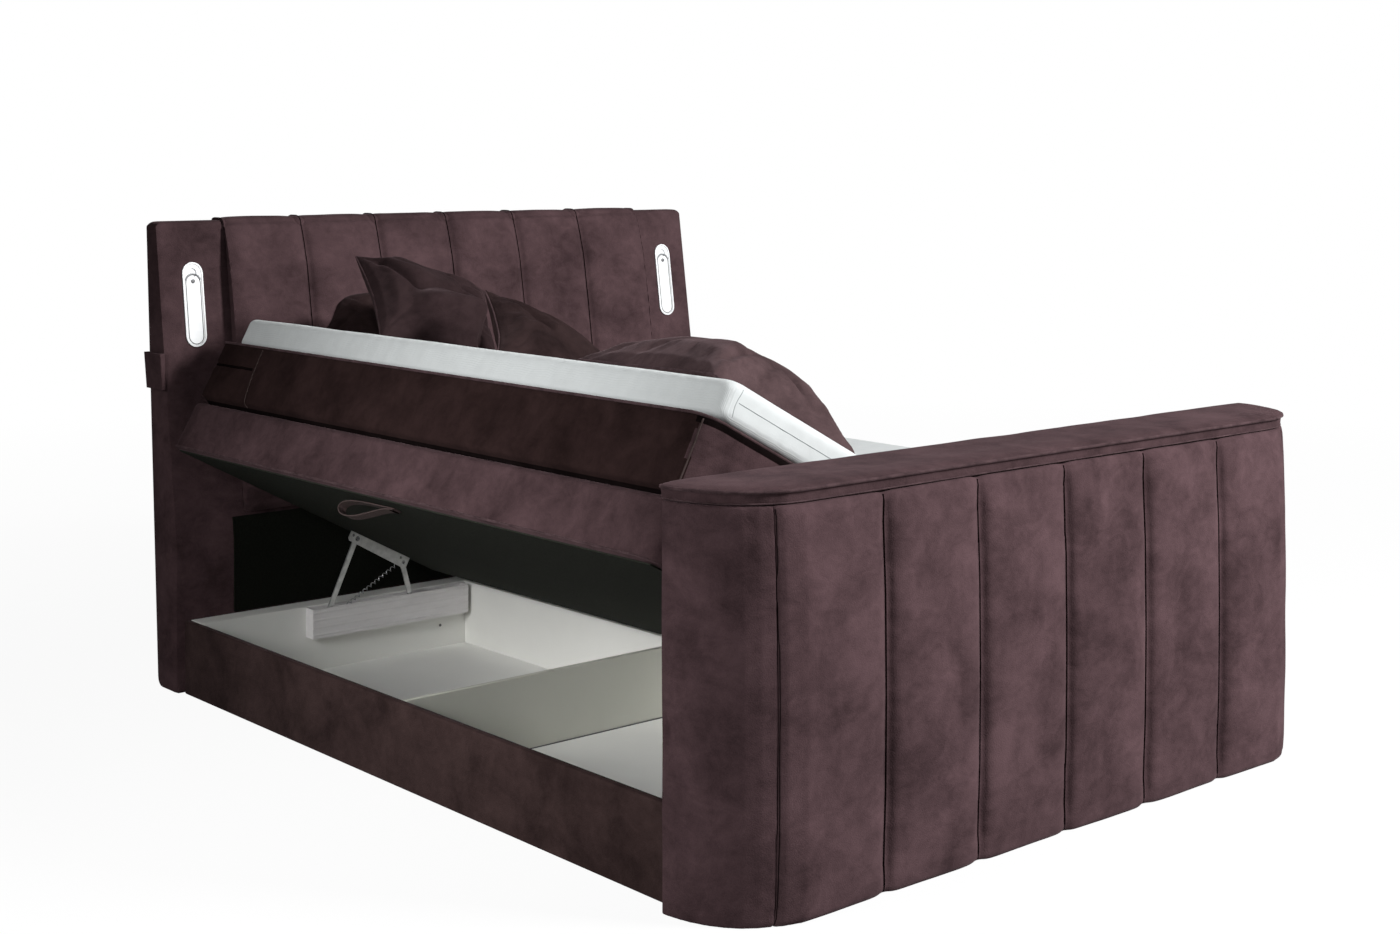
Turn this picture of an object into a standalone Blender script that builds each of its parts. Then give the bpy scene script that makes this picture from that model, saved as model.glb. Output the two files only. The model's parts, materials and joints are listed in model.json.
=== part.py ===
"""Box spring bed whose two halves lift over storage boxes, with a television footboard.

X runs across the bed, Y from the footboard to the headboard, Z up, all in metres. While the bed is
built, Y = 0 is the foot end of the base; at the end everything is moved so that the origin lies at
the bottom centre of the whole bed. The left half rests open, the right half closed.
"""
import math

import bmesh
import bpy
from mathutils import Euler, Matrix, Vector

# Play between pieces that touch, and the small roundings.
PLAY = 0.0003
BOARD_EDGE = 0.003
SMALL_EDGE = 0.0012
EDGE_STEPS = 1
CORNER_STEPS = 4
CUT_OVERRUN = 0.010

# The base: an upholstered box on the floor, with two storage boxes on each side of the middle.
BASE_HALF_WIDTH = 0.940
BASE_LENGTH = 2.100
BASE_HEIGHT = 0.2013
SIDE_RAIL = 0.020
FOOT_RAIL = 0.014
HEAD_RAIL = 0.064
BOX_HEAD = BASE_LENGTH - HEAD_RAIL
CENTRE_HALF_WIDTH = 0.055
CENTRE_WALL = 0.016
DIVIDER = 0.016
DIVIDER_PAST_MIDDLE = 0.003
DIVIDER_MIDDLE = BOX_HEAD / 2 + DIVIDER_PAST_MIDDLE
DIVIDER_HEIGHT = 0.199
FLOOR_LOW = 0.004
FLOOR_HIGH = 0.016

# The two lifting halves, measured with the half closed.
LID_OVERHANG = 0.015
LID_OUTER = BASE_HALF_WIDTH + LID_OVERHANG
LID_FOOT = 0.005
LID_HEAD_GAP = 0.048
LID_HEAD = BASE_LENGTH - LID_HEAD_GAP
LID_MIDDLE_GAP = 0.0020
OPEN_DEGREES = 28.0
HINGE_HEIGHT = 0.530
LINING_LOW = 0.2016
LINING_HIGH = 0.2047
LINING_INSET = 0.014
BOX_LOW = 0.2050
BOX_HIGH = 0.3440
MATTRESS_LOW = 0.3443
MATTRESS_SHOULDER = 0.3620
MATTRESS_HIGH = 0.5250
MATTRESS_INSET = 0.004
MATTRESS_OUTER = LID_OUTER - MATTRESS_INSET
SEAM_INSET = 0.014
SEAM_HEIGHT_SHARE = 0.62
SEAM_DEPTH = 0.0035
SEAM_HALF = 0.004
TOPPER_LOW = 0.5253
TOPPER_HIGH = 0.6160
TOPPER_INSET = 0.039
TOPPER_OUTER = LID_OUTER - TOPPER_INSET
TOPPER_FOOT = 0.012
TOPPER_HEAD_INSET = 0.008
TOPPER_HEAD = LID_HEAD - TOPPER_HEAD_INSET
TOPPER_MIDDLE_GAP = 0.004
TOPPER_SPLAY_DEGREES = 28.8
TOPPER_CROWN = 0.004
SOFT_FOOT_CORNER = 0.055
SOFT_CORNER = 0.014
MIDDLE_CORNER = 0.004

# The pull strap under the outer edge of each half.
STRAP_INSET = 0.075
STRAP_OUTER = LID_OUTER - STRAP_INSET
STRAP_WIDTH = 0.025
STRAP_THICK = 0.0022
STRAP_PAST_DIVIDER = 0.019
STRAP_LENGTH = 0.240
STRAP_FOOT = DIVIDER_MIDDLE + STRAP_PAST_DIVIDER
STRAP_HEAD = STRAP_FOOT + STRAP_LENGTH
STRAP_DROP = 0.050
STRAP_STEPS = 10

# The lift fittings: a ribbed channel on the end rail, a bar under the half, two flat arms, a spring.
CHANNEL_OUTER = 0.597
CHANNEL_INNER = 0.070
CHANNEL_LOW = 0.115
CHANNEL_HIGH = 0.198
CHANNEL_WALL = 0.0036
CHANNEL_DEPTH = 0.040
RIB_COUNT = 4
RIB_STAND = 0.0015
RIB_HEIGHT = 0.007
LONG_PIVOT_OPEN = (0.450, 0.382)
LONG_FOOT_OPEN = (0.540, 0.186)
SHORT_PIVOT_OPEN = (0.295, 0.292)
SHORT_FOOT_OPEN = (0.268, 0.196)
FOOT_CLOSED_HEIGHT = 0.186
ARM_HALF_WIDTH = 0.0075
ARM_THICK = 0.0040
ARM_END_STEPS = 6
PIN_RADIUS = 0.0030
PIN_HOLE = 0.0034
PIN_SIDES = 12
BAR_THICK = 0.0040
BAR_REACH = 0.028
BAR_TOP = 0.2013
BAR_DROP = 0.014
BAR_CORNER = 0.006
LAYER_BAR = 0.0080
LAYER_ARM = 0.0140
LAYER_SPRING = 0.0280
SPRING_PIN = (0.481, 0.188)
SPRING_WIRE = 0.0011
SPRING_COIL = 0.0048
SPRING_CURLS = 12
SPRING_POINTS_A_CURL = 8
SPRING_END = 0.012
WIRE_RESOLUTION = 1

# The headboard, whose front leans back by more than its rear does.
HEAD_OVERHANG = 0.025
HEAD_HALF_WIDTH = BASE_HALF_WIDTH + HEAD_OVERHANG
HEAD_HEIGHT = 1.300
HEAD_FRONT_BACKSET = 0.060
HEAD_FRONT_AT_FLOOR = BASE_LENGTH - HEAD_FRONT_BACKSET
HEAD_FRONT_LEAN = 0.147
HEAD_THICK_AT_FLOOR = 0.122
HEAD_REAR_AT_FLOOR = BASE_LENGTH + HEAD_THICK_AT_FLOOR
HEAD_REAR_LEAN = 0.0585
HEAD_EDGE = 0.016
HEAD_EDGE_STEPS = 2
HEAD_TOP_RADIUS = 0.018
HEAD_TOP_STEPS = 4
HEAD_HEEL_RADIUS = 0.030
HEAD_WING = 0.2015
PAD_HALF_WIDTH = HEAD_HALF_WIDTH - HEAD_WING
PAD_LOW = 0.480
PAD_CHANNELS = 6
PAD_CHANNEL_SHARES = (0.0, 0.05, 0.18, 0.5, 0.82, 0.95)
PAD_PUFF_SHARES = (0.0, 0.45, 0.82, 1.0, 0.82, 0.45)
PAD_SEAM_THICK = 0.038
PAD_PUFF = 0.012
PAD_END_PUFF = 0.6
PAD_OVER_TOP = 0.009
PAD_OVER_SEAM_SHARE = 0.6
PAD_HEIGHT_SHARES = (0.0, 0.02, 0.08, 0.35, 0.65, 0.85, 0.95, 1.0)
PAD_THICK_SHARES = (0.35, 0.75, 1.0, 1.0, 1.0, 0.90, 0.62, 0.42)
PAD_REAR_EDGE = 0.050
PANEL_WING = 0.175
PANEL_HALF_WIDTH = HEAD_HALF_WIDTH - PANEL_WING
PANEL_LOW = 0.206
PANEL_HIGH = 0.470
PANEL_THICK = 0.006

# The reading lamps let into the headboard's wings.
LAMP_FROM_EDGE = 0.103
LAMP_ACROSS = HEAD_HALF_WIDTH - LAMP_FROM_EDGE
LAMP_BELOW_TOP = 0.116
LAMP_LENGTH = 0.237
LAMP_HIGH = HEAD_HEIGHT - LAMP_BELOW_TOP
LAMP_LOW = LAMP_HIGH - LAMP_LENGTH
LAMP_HALF_WIDTH = 0.031
LAMP_STAND = 0.0035
LAMP_DEPTH = 0.0120
LAMP_RIM = 0.0045
LAMP_BACK = 0.0030
LAMP_PLAY = 0.0010
LAMP_ARM_SUNK = 0.0015
LAMP_SIDES = 10
SCOOP_RADIUS = 0.0125
SCOOP_DEPTH = 0.0035
SCOOP_BELOW_TOP = 0.030

# The pocket on the headboard's left side.
POCKET_FROM_BASE = 0.060
POCKET_FOOT = BASE_LENGTH + POCKET_FROM_BASE
POCKET_LOW = 0.835
POCKET_HIGH = 0.935
POCKET_LENGTH = 0.100
POCKET_DEEP_LOW = 0.011
POCKET_DEEP_HIGH = 0.016
POCKET_WALL = 0.0030

# The footboard: a padded front that rounds into both ends, hollow for a television lift.
FOOT_OVERHANG = 0.035
FOOT_HALF_WIDTH = BASE_HALF_WIDTH + FOOT_OVERHANG
FOOT_ROUND_X = 0.190
FOOT_ROUND_Y = 0.212
FOOT_BODY_HIGH = 0.8122
FOOT_REAR_GAP = 0.0030
FOOT_CORNER_SEAM_INSET = 0.120
FOOT_CORNER_SEAM = FOOT_HALF_WIDTH - FOOT_CORNER_SEAM_INSET
FOOT_SEAM_SHARES = (-1.0, -0.665, -0.332, 0.0, 0.332, 0.665, 1.0)
FOOT_SEAMS = tuple(share * FOOT_CORNER_SEAM for share in FOOT_SEAM_SHARES)
FOOT_CHANNEL_SHARES = (0.0, 0.05, 0.20, 0.5, 0.80, 0.95)
FOOT_PUFF_SHARES = (0.0, 0.5, 0.9, 1.0, 0.9, 0.5)
FOOT_PUFF = 0.011
FOOT_PUFF_LEAST_SHARE = 0.55
FOOT_END_PUFF_SHARE = 0.5
FOOT_SHELL = 0.045
FOOT_END_SHELL = 0.040
FOOT_END_STEPS = 7
FOOT_HEIGHT_SHARES = (0.0, 0.012, 0.05, 0.25, 0.5, 0.75, 0.92, 0.98, 1.0)
FOOT_BULGE_SHARES = (0.0, 0.30, 0.48, 0.85, 1.0, 0.85, 0.50, 0.25, 0.0)
FOOT_BULGE = 0.017
FOOT_REAR_PANEL = 0.016
FOOT_REAR_INSET = 0.045
FOOT_REAR_HALF_WIDTH = FOOT_HALF_WIDTH - FOOT_REAR_INSET
FOOT_FLOOR_INSET = 0.135
FOOT_FLOOR_HALF_WIDTH = FOOT_HALF_WIDTH - FOOT_FLOOR_INSET
FOOT_FLOOR_FRONT = -0.150
FOOT_FLOOR_THICK = 0.018
FOOT_LID_LIP = 0.005
FOOT_LID_REAR = -0.0015
FOOT_LID_REAR_SHARE = 1 / 3
FOOT_LID_HEIGHTS = (0.8125, 0.8145, 0.8340, 0.8375, 0.8405, 0.8435, 0.8480, 0.8510)
FOOT_LID_INSETS = (0.010, 0.0045, 0.0030, 0.0, -0.0015, 0.0020, 0.0200, 0.0600)
FOOT_HINGE_AXIS = (-0.2200, 0.8125)

# The television lift inside the footboard.
LIFT_FRONT = -0.150
LIFT_REAR = -0.100
LIFT_HALF_WIDTH = 0.045
LIFT_TUBE_WALL = 0.004
LIFT_LOW = 0.0223
LIFT_TUBE_HIGH = 0.550
LIFT_RAM_LOW = 0.0300
LIFT_RAM_HIGH = 0.600
LIFT_SLIDING_PLAY = 0.0008
BRACKET_HALF_WIDTH = 0.210
BRACKET_LOW = 0.556
BRACKET_HIGH = 0.700
BRACKET_THICK = 0.005
BRACKET_SLOT = 0.006
BRACKET_SLOT_HALF = 0.050
BRACKET_SLOT_ACROSS = 0.130
BRACKET_SLOT_HEIGHTS = (0.600, 0.660)

# The loose cushions on the open half, placed in that half's own closed frame.
CUSHION_STEPS = 10
CUSHION_FULLNESS = 0.42
CUSHION_DRAW = 0.075
CUSHION_RIM = 0.004
# Each: name, width, length, thickness, place (X, Y) of the centre, height of its lowest point
# above the topper, and turns in degrees about X, Y and Z.
CUSHIONS = (
    ("cushion_corner", 0.280, 0.260, 0.110, (-0.650, 1.950), 0.0, (50.0, -8.0, -10.0)),
    ("cushion_upright", 0.430, 0.430, 0.140, (-0.630, 1.630), 0.0, (40.0, -10.0, -14.0)),
    ("cushion_leaning", 0.400, 0.400, 0.120, (-0.510, 1.180), 0.0, (34.0, 4.0, -12.0)),
    ("cushion_large", 0.440, 0.720, 0.170, (-0.570, 0.455), 0.0, (3.0, 0.0, -15.0)),
)

# Colour, roughness and metallic of each material.
FINISHES = {
    "plum_fabric": ((0.060, 0.034, 0.037), 0.85, 0.0),
    "plum_cushion_fabric": ((0.052, 0.029, 0.032), 0.85, 0.0),
    "topper_fabric": ((0.720, 0.750, 0.750), 0.90, 0.0),
    "lining_fleece": ((0.012, 0.013, 0.011), 0.95, 0.0),
    "strap_webbing": ((0.050, 0.028, 0.026), 0.80, 0.0),
    "white_board": ((0.700, 0.710, 0.700), 0.55, 0.0),
    "channel_plastic": ((0.620, 0.650, 0.670), 0.45, 0.0),
    "zinc_steel": ((0.420, 0.430, 0.440), 0.40, 0.9),
    "spring_steel": ((0.350, 0.360, 0.370), 0.35, 1.0),
    "lamp_plastic": ((0.800, 0.810, 0.820), 0.30, 0.0),
    "lift_enamel": ((0.040, 0.041, 0.043), 0.50, 0.2),
}

LEFT = -1
RIGHT = 1
NOWHERE = Vector((0.0, 0.0, 0.0))
PIVOT = Vector((0.0, 0.0, HINGE_HEIGHT))
OPEN = Matrix.Translation(PIVOT) @ Matrix.Rotation(math.radians(OPEN_DEGREES), 4, "Y")
STRAIGHT = Matrix.Identity(4)
SHARP_DEGREES = 35.0


def clear_scene():
    """Take away everything that the startup scene holds."""
    for thing in list(bpy.data.objects):
        bpy.data.objects.remove(thing)


def make_collections():
    """A collection for the bed and one for the shapes that cut it."""
    bed = bpy.data.collections.new("box_spring_bed")
    cutters = bpy.data.collections.new("cutters")
    cutters.hide_render = True
    for group in (bed, cutters):
        bpy.context.scene.collection.children.link(group)
    return bed, cutters


def make_materials():
    """One Principled material for each finish."""
    made = {}
    for name, (colour, roughness, metallic) in FINISHES.items():
        material = bpy.data.materials.new(name)
        material.use_nodes = True
        shader = material.node_tree.nodes["Principled BSDF"]
        shader.inputs["Base Color"].default_value = (*colour, 1.0)
        shader.inputs["Roughness"].default_value = roughness
        shader.inputs["Metallic"].default_value = metallic
        material.diffuse_color = (*colour, 1.0)
        made[name] = material
    return made


clear_scene()
BED, CUTTERS = make_collections()
MATERIALS = make_materials()


def place(name, mesh, finish, pivot=NOWHERE, frame=STRAIGHT, smooth=False):
    """Make a node from a mesh, with its origin on the pivot when it turns about one."""
    origin = Vector(pivot)
    mesh.transform(Matrix.Translation(-origin))
    mesh.materials.clear()
    mesh.materials.append(MATERIALS[finish])
    for face in mesh.polygons:
        face.use_smooth = smooth
    if smooth:
        mesh.set_sharp_from_angle(angle=math.radians(SHARP_DEGREES))
    node = bpy.data.objects.new(name, mesh)
    BED.objects.link(node)
    node.matrix_world = frame @ Matrix.Translation(origin)
    return node


def bevelled(node, width=BOARD_EDGE, steps=EDGE_STEPS):
    """Round a node's sharp edges."""
    rounding = node.modifiers.new("rounding", "BEVEL")
    rounding.width = width
    rounding.segments = steps
    rounding.limit_method = "ANGLE"
    return node


def skin(rings):
    """Mesh of a stack of rings with equal point counts, closed at both ends."""
    shape = bmesh.new()
    rows = [[shape.verts.new(point) for point in ring] for ring in rings]
    count = len(rows[0])
    for low, high in zip(rows, rows[1:]):
        for index in range(count):
            after = (index + 1) % count
            shape.faces.new((low[index], low[after], high[after], high[index]))
    shape.faces.new(list(reversed(rows[0])))
    shape.faces.new(rows[-1])
    return mesh_of(shape)


def mesh_of(shape):
    """Turn the working shape into a mesh whose faces look outward."""
    bmesh.ops.recalc_face_normals(shape, faces=shape.faces)
    mesh = bpy.data.meshes.new("shape")
    shape.to_mesh(mesh)
    shape.free()
    return mesh


def block(low, high):
    """Mesh of a box between two opposite corners."""
    shape = bmesh.new()
    bmesh.ops.create_cube(shape, size=1.0)
    middle = (Vector(low) + Vector(high)) / 2
    size = Vector(high) - Vector(low)
    bmesh.ops.scale(shape, vec=size, verts=shape.verts)
    bmesh.ops.translate(shape, vec=middle, verts=shape.verts)
    return mesh_of(shape)


def board(name, low, high, finish, edge=BOARD_EDGE, **options):
    """A box with softened edges."""
    return bevelled(place(name, block(low, high), finish, **options), edge)


def prism_x(outline, start, end):
    """Mesh of an outline in Y and Z drawn out along X."""
    return skin([[(x, y, z) for y, z in outline] for x in (start, end)])


def prism_y(outline, start, end):
    """Mesh of an outline in X and Z drawn out along Y."""
    return skin([[(x, y, z) for x, z in outline] for y in (start, end)])


def rod(radius, start, end, sides=PIN_SIDES):
    """Mesh of a round rod between two points."""
    shape = bmesh.new()
    start, end = Vector(start), Vector(end)
    run = end - start
    bmesh.ops.create_cone(shape, cap_ends=True, segments=sides, radius1=radius, radius2=radius,
                          depth=run.length)
    turn = Vector((0.0, 0.0, 1.0)).rotation_difference(run).to_matrix()
    bmesh.ops.rotate(shape, matrix=turn, verts=shape.verts)
    bmesh.ops.translate(shape, vec=(start + end) / 2, verts=shape.verts)
    return mesh_of(shape)


def combine(node, mesh, operation, origin=NOWHERE):
    """Cut a mesh out of a node or join it on, given the pivot that the node's mesh is centred on."""
    cutter = bpy.data.objects.new(node.name + "_" + operation.lower(), mesh)
    CUTTERS.objects.link(cutter)
    cutter.display_type = "WIRE"
    cutter.hide_render = True
    cutter.matrix_world = node.matrix_world @ Matrix.Translation(-Vector(origin))
    step = node.modifiers.new(operation.lower(), "BOOLEAN")
    step.operation = operation
    step.solver = "EXACT"
    step.object = cutter
    return node


def corner_ring(left, right, foot, head, height, radii):
    """Points of a rounded rectangle, whose radii start at the left foot corner."""
    corners = ((left, foot, 1, 1, 180.0), (right, foot, -1, 1, 270.0),
               (right, head, -1, -1, 0.0), (left, head, 1, -1, 90.0))
    points = []
    for (x, y, along, up, start), radius in zip(corners, radii):
        for step in range(CORNER_STEPS + 1):
            angle = math.radians(start + 90.0 * step / CORNER_STEPS)
            points.append((x + along * radius + radius * math.cos(angle),
                           y + up * radius + radius * math.sin(angle), height))
    return points


def mirrored(mesh):
    """Mirror a mesh to the other side of the bed."""
    mesh.transform(Matrix.Scale(-1.0, 4, (1.0, 0.0, 0.0)))
    mesh.flip_normals()
    return mesh


def to_side(mesh, side):
    """A mesh modelled for the right half, put on the side asked for."""
    return mirrored(mesh) if side == LEFT else mesh


def side_name(side):
    return "left" if side == LEFT else "right"


def half_frame(side):
    """The left half rests open and the right half closed."""
    return OPEN if side == LEFT else STRAIGHT


def swing(point, degrees):
    """Turn a point (across, height) of the right half about the bed's hinge line, outer edge up."""
    angle = math.radians(degrees)
    across, height = point[0], point[1] - HINGE_HEIGHT
    return (across * math.cos(angle) - height * math.sin(angle),
            across * math.sin(angle) + height * math.cos(angle) + HINGE_HEIGHT)


def build_base():
    """Side rails, end rails, floors and dividers round the two storage boxes of each side."""
    inner = BASE_HALF_WIDTH - SIDE_RAIL
    for side in (LEFT, RIGHT):
        tag = side_name(side)
        low, high = sorted((side * inner, side * BASE_HALF_WIDTH))
        board("side_rail_" + tag, (low, 0.0, 0.0), (high, BASE_LENGTH, BASE_HEIGHT), "plum_fabric")
        low, high = sorted((side * (CENTRE_HALF_WIDTH + PLAY), side * (inner - PLAY)))
        start, end = FOOT_RAIL + PLAY, BOX_HEAD - PLAY
        board("box_floor_" + tag, (low, start, FLOOR_LOW), (high, end, FLOOR_HIGH), "white_board",
              SMALL_EDGE)
        board("divider_" + tag, (low, DIVIDER_MIDDLE - DIVIDER / 2, FLOOR_HIGH + PLAY),
              (high, DIVIDER_MIDDLE + DIVIDER / 2, DIVIDER_HEIGHT), "white_board", SMALL_EDGE)
    across = inner - PLAY
    board("foot_rail", (-across, 0.0, 0.0), (across, FOOT_RAIL, BASE_HEIGHT), "white_board",
          SMALL_EDGE)
    board("head_rail", (-across, BOX_HEAD, 0.0), (across, BASE_LENGTH, BASE_HEIGHT),
          "white_board", SMALL_EDGE)
    build_centre_rail()


def build_centre_rail():
    """Two boards and a top board in one: a channel that is open below."""
    half, wall = CENTRE_HALF_WIDTH, CENTRE_WALL
    outline = [(-half, 0.0), (-half, BASE_HEIGHT), (half, BASE_HEIGHT), (half, 0.0),
               (half - wall, 0.0), (half - wall, BASE_HEIGHT - wall),
               (wall - half, BASE_HEIGHT - wall), (wall - half, 0.0)]
    start, end = FOOT_RAIL + PLAY, BOX_HEAD - PLAY
    bevelled(place("centre_rail", prism_y(outline, start, end), "white_board"), SMALL_EDGE)


def soft_layer(outer, foot, head, middle, levels, bulge):
    """Rings of an upholstered layer from (height, inset) levels; the middle side stays straight."""
    rings = []
    for height, inset in levels:
        radii = (MIDDLE_CORNER, SOFT_FOOT_CORNER - inset / 2, SOFT_CORNER, MIDDLE_CORNER)
        low, high = levels[0][0], levels[-1][0]
        swell = bulge * math.sin(math.pi * (height - low) / (high - low))
        rings.append(corner_ring(middle, outer - inset + swell, foot + inset, head - inset,
                                 height, radii))
    return rings


def build_half(side):
    """One lifting half: lining, spring box, mattress, topper and strap."""
    tag, frame = side_name(side), half_frame(side)
    lining = block((LID_MIDDLE_GAP + LINING_INSET, LID_FOOT + LINING_INSET, LINING_LOW),
                   (LID_OUTER - LINING_INSET, LID_HEAD - LINING_INSET, LINING_HIGH))
    rest_on_hinge("underside_" + tag, to_side(lining, side), "lining_fleece", frame)
    edge = SEAM_INSET / 2
    levels = [(BOX_LOW, edge), (BOX_LOW + edge / 2, edge / 4), (BOX_LOW + edge, 0.0),
              (BOX_HIGH - SEAM_INSET, 0.0), (BOX_HIGH - edge / 2, edge / 2),
              (BOX_HIGH, SEAM_INSET)]
    rings = soft_layer(LID_OUTER, LID_FOOT, LID_HEAD, LID_MIDDLE_GAP, levels, SMALL_EDGE)
    rest_on_hinge("spring_box_" + tag, to_side(skin(rings), side), "plum_fabric", frame, True)
    build_mattress(side, tag, frame)
    build_topper(side, tag, frame)
    build_strap(side, tag, frame)


def build_mattress(side, tag, frame):
    """The half's mattress, with a seam drawn in round its border."""
    seam = MATTRESS_SHOULDER + (MATTRESS_HIGH - MATTRESS_SHOULDER) * SEAM_HEIGHT_SHARE
    edge = SEAM_INSET / 2
    levels = [(MATTRESS_LOW, SEAM_INSET), (MATTRESS_SHOULDER - edge, SEAM_INSET),
              (MATTRESS_SHOULDER - edge / 4, edge / 2), (MATTRESS_SHOULDER + edge / 2, 0.0),
              (seam - SEAM_HALF, 0.0), (seam, SEAM_DEPTH), (seam + SEAM_HALF, 0.0),
              (MATTRESS_HIGH - edge, 0.0), (MATTRESS_HIGH - edge / 4, edge / 2),
              (MATTRESS_HIGH, SEAM_INSET)]
    rings = soft_layer(MATTRESS_OUTER, LID_FOOT, LID_HEAD, LID_MIDDLE_GAP, levels, SMALL_EDGE)
    rest_on_hinge("mattress_" + tag, to_side(skin(rings), side), "plum_fabric", frame, True)


def build_topper(side, tag, frame):
    """The topper's half, splayed at the middle so that the halves clear each other when open."""
    edge = SOFT_CORNER
    splay = math.tan(math.radians(TOPPER_SPLAY_DEGREES))
    levels = [(TOPPER_LOW, edge), (TOPPER_LOW + edge / 4, edge / 4), (TOPPER_LOW + edge, 0.0),
              (TOPPER_HIGH - edge, 0.0), (TOPPER_HIGH - edge / 4, edge / 3),
              (TOPPER_HIGH, edge)]
    rings = []
    for height, inset in levels:
        middle = TOPPER_MIDDLE_GAP + max(0.0, height - HINGE_HEIGHT) * splay
        radii = (MIDDLE_CORNER, SOFT_FOOT_CORNER / 2, SOFT_CORNER, MIDDLE_CORNER)
        rings.append(corner_ring(middle, TOPPER_OUTER - inset, TOPPER_FOOT + inset,
                                 TOPPER_HEAD - inset, height, radii))
    middle = TOPPER_MIDDLE_GAP + (TOPPER_HIGH - HINGE_HEIGHT + TOPPER_CROWN) * splay
    margin = SOFT_FOOT_CORNER
    radii = (MIDDLE_CORNER, SOFT_CORNER, SOFT_CORNER, MIDDLE_CORNER)
    rings.append(corner_ring(middle, TOPPER_OUTER - margin, TOPPER_FOOT + margin,
                             TOPPER_HEAD - margin, TOPPER_HIGH + TOPPER_CROWN, radii))
    rest_on_hinge("topper_" + tag, to_side(skin(rings), side), "topper_fabric", frame, True)


def build_strap(side, tag, frame):
    """A webbing loop whose two ends are fixed under the lining."""
    outer, inner = [], []
    top = LINING_LOW - PLAY
    middle, half = (STRAP_FOOT + STRAP_HEAD) / 2, (STRAP_HEAD - STRAP_FOOT) / 2
    for step in range(STRAP_STEPS + 1):
        angle = math.pi * step / STRAP_STEPS
        outer.append((middle - half * math.cos(angle), top - STRAP_DROP * math.sin(angle)))
        inner.append((middle - (half - STRAP_THICK) * math.cos(angle),
                      top - (STRAP_DROP - STRAP_THICK) * math.sin(angle)))
    outline = outer + list(reversed(inner))
    strap = prism_x(outline, STRAP_OUTER - STRAP_WIDTH, STRAP_OUTER)
    rest_on_hinge("pull_strap_" + tag, to_side(strap, side), "strap_webbing", frame, True)


def rest_on_hinge(name, mesh, finish, frame, smooth=False):
    """Place a piece of a lifting half, its origin on the bed's hinge line."""
    mesh.transform(Matrix.Translation(-PIVOT))
    resting = frame if frame != STRAIGHT else Matrix.Translation(PIVOT)
    return place(name, mesh, finish, frame=resting, smooth=smooth)


def closed_pivot(point):
    """Where a pivot of the open half lies once the half is closed."""
    return swing(point, -OPEN_DEGREES)


def arm_points(pivot_open, foot_open, open_now):
    """Pivot and foot of an arm, with the half open or closed."""
    if open_now:
        return pivot_open, foot_open
    pivot = closed_pivot(pivot_open)
    length = math.dist(pivot_open, foot_open)
    drop = FOOT_CLOSED_HEIGHT - pivot[1]
    return pivot, (pivot[0] + math.sqrt(length * length - drop * drop), FOOT_CLOSED_HEIGHT)


def arm_turn(pivot_open, foot_open):
    """Degrees that an arm turns against its half while the half closes."""
    ends = []
    for open_now in (True, False):
        pivot, foot = arm_points(pivot_open, foot_open, open_now)
        ends.append(math.degrees(math.atan2(foot[1] - pivot[1], foot[0] - pivot[0])))
    return (ends[1] - ends[0]) % 360.0 + OPEN_DEGREES


def layer(depth, thick, at_head):
    """Start and end in Y of a piece whose far face lies so deep in the channel."""
    face = BOX_HEAD - PLAY - CHANNEL_DEPTH if at_head else FOOT_RAIL + PLAY + CHANNEL_DEPTH
    sign = 1 if at_head else -1
    return face + sign * (depth - thick), face + sign * depth


def stadium(first, second, half_width):
    """Outline in X and Z round two points."""
    heading = math.atan2(second[1] - first[1], second[0] - first[0])
    outline = []
    for centre, start in ((second, -90.0), (first, 90.0)):
        for step in range(ARM_END_STEPS + 1):
            angle = heading + math.radians(start + 180.0 * step / ARM_END_STEPS)
            outline.append((centre[0] + half_width * math.cos(angle),
                            centre[1] + half_width * math.sin(angle)))
    return outline


def build_arm(name, side, at_head, pivot_open, foot_open):
    """A flat arm with an eye at both ends, its origin on the pivot under the bar."""
    pivot, foot = arm_points(pivot_open, foot_open, side == LEFT)
    start, end = layer(LAYER_ARM, ARM_THICK, at_head)
    mesh = to_side(prism_y(stadium(pivot, foot, ARM_HALF_WIDTH), start, end), side)
    origin = Vector((side * pivot[0], (start + end) / 2, pivot[1]))
    node = place(name, mesh, "zinc_steel", origin)
    low, high = sorted((start, end))
    for across, height in (pivot, foot):
        hole = rod(PIN_HOLE, (side * across, low - CUT_OVERRUN, height),
                   (side * across, high + CUT_OVERRUN, height))
        combine(node, hole, "DIFFERENCE", origin)
    return node


def build_bar(name, side, at_head):
    """The bar screwed under the half, with the two pins that the arms turn on."""
    long_pivot, short_pivot = closed_pivot(LONG_PIVOT_OPEN), closed_pivot(SHORT_PIVOT_OPEN)
    outer, inner = long_pivot[0] + BAR_REACH, short_pivot[0] - BAR_REACH / 2
    outline = [(inner, BAR_TOP), (inner, short_pivot[1] - BAR_DROP + BAR_CORNER),
               (inner + BAR_CORNER, short_pivot[1] - BAR_DROP),
               (outer - BAR_CORNER, long_pivot[1] - BAR_DROP),
               (outer, long_pivot[1] - BAR_DROP + BAR_CORNER), (outer, BAR_TOP)]
    start, end = layer(LAYER_BAR, BAR_THICK, at_head)
    mesh = to_side(prism_y(outline, start, end), side)
    node = rest_on_hinge(name, mesh, "zinc_steel", half_frame(side))
    arm_side = layer(LAYER_ARM + SMALL_EDGE, 0.0, at_head)[1]
    spring_side = layer(LAYER_SPRING, 0.0, at_head)[1]
    for pivot, far in ((long_pivot, arm_side), (short_pivot, spring_side)):
        pin = rod(PIN_RADIUS, (side * pivot[0], (start + end) / 2, pivot[1]),
                  (side * pivot[0], far, pivot[1]))
        pin.transform(Matrix.Translation(-PIVOT))
        combine(node, pin, "UNION")
    return node


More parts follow.
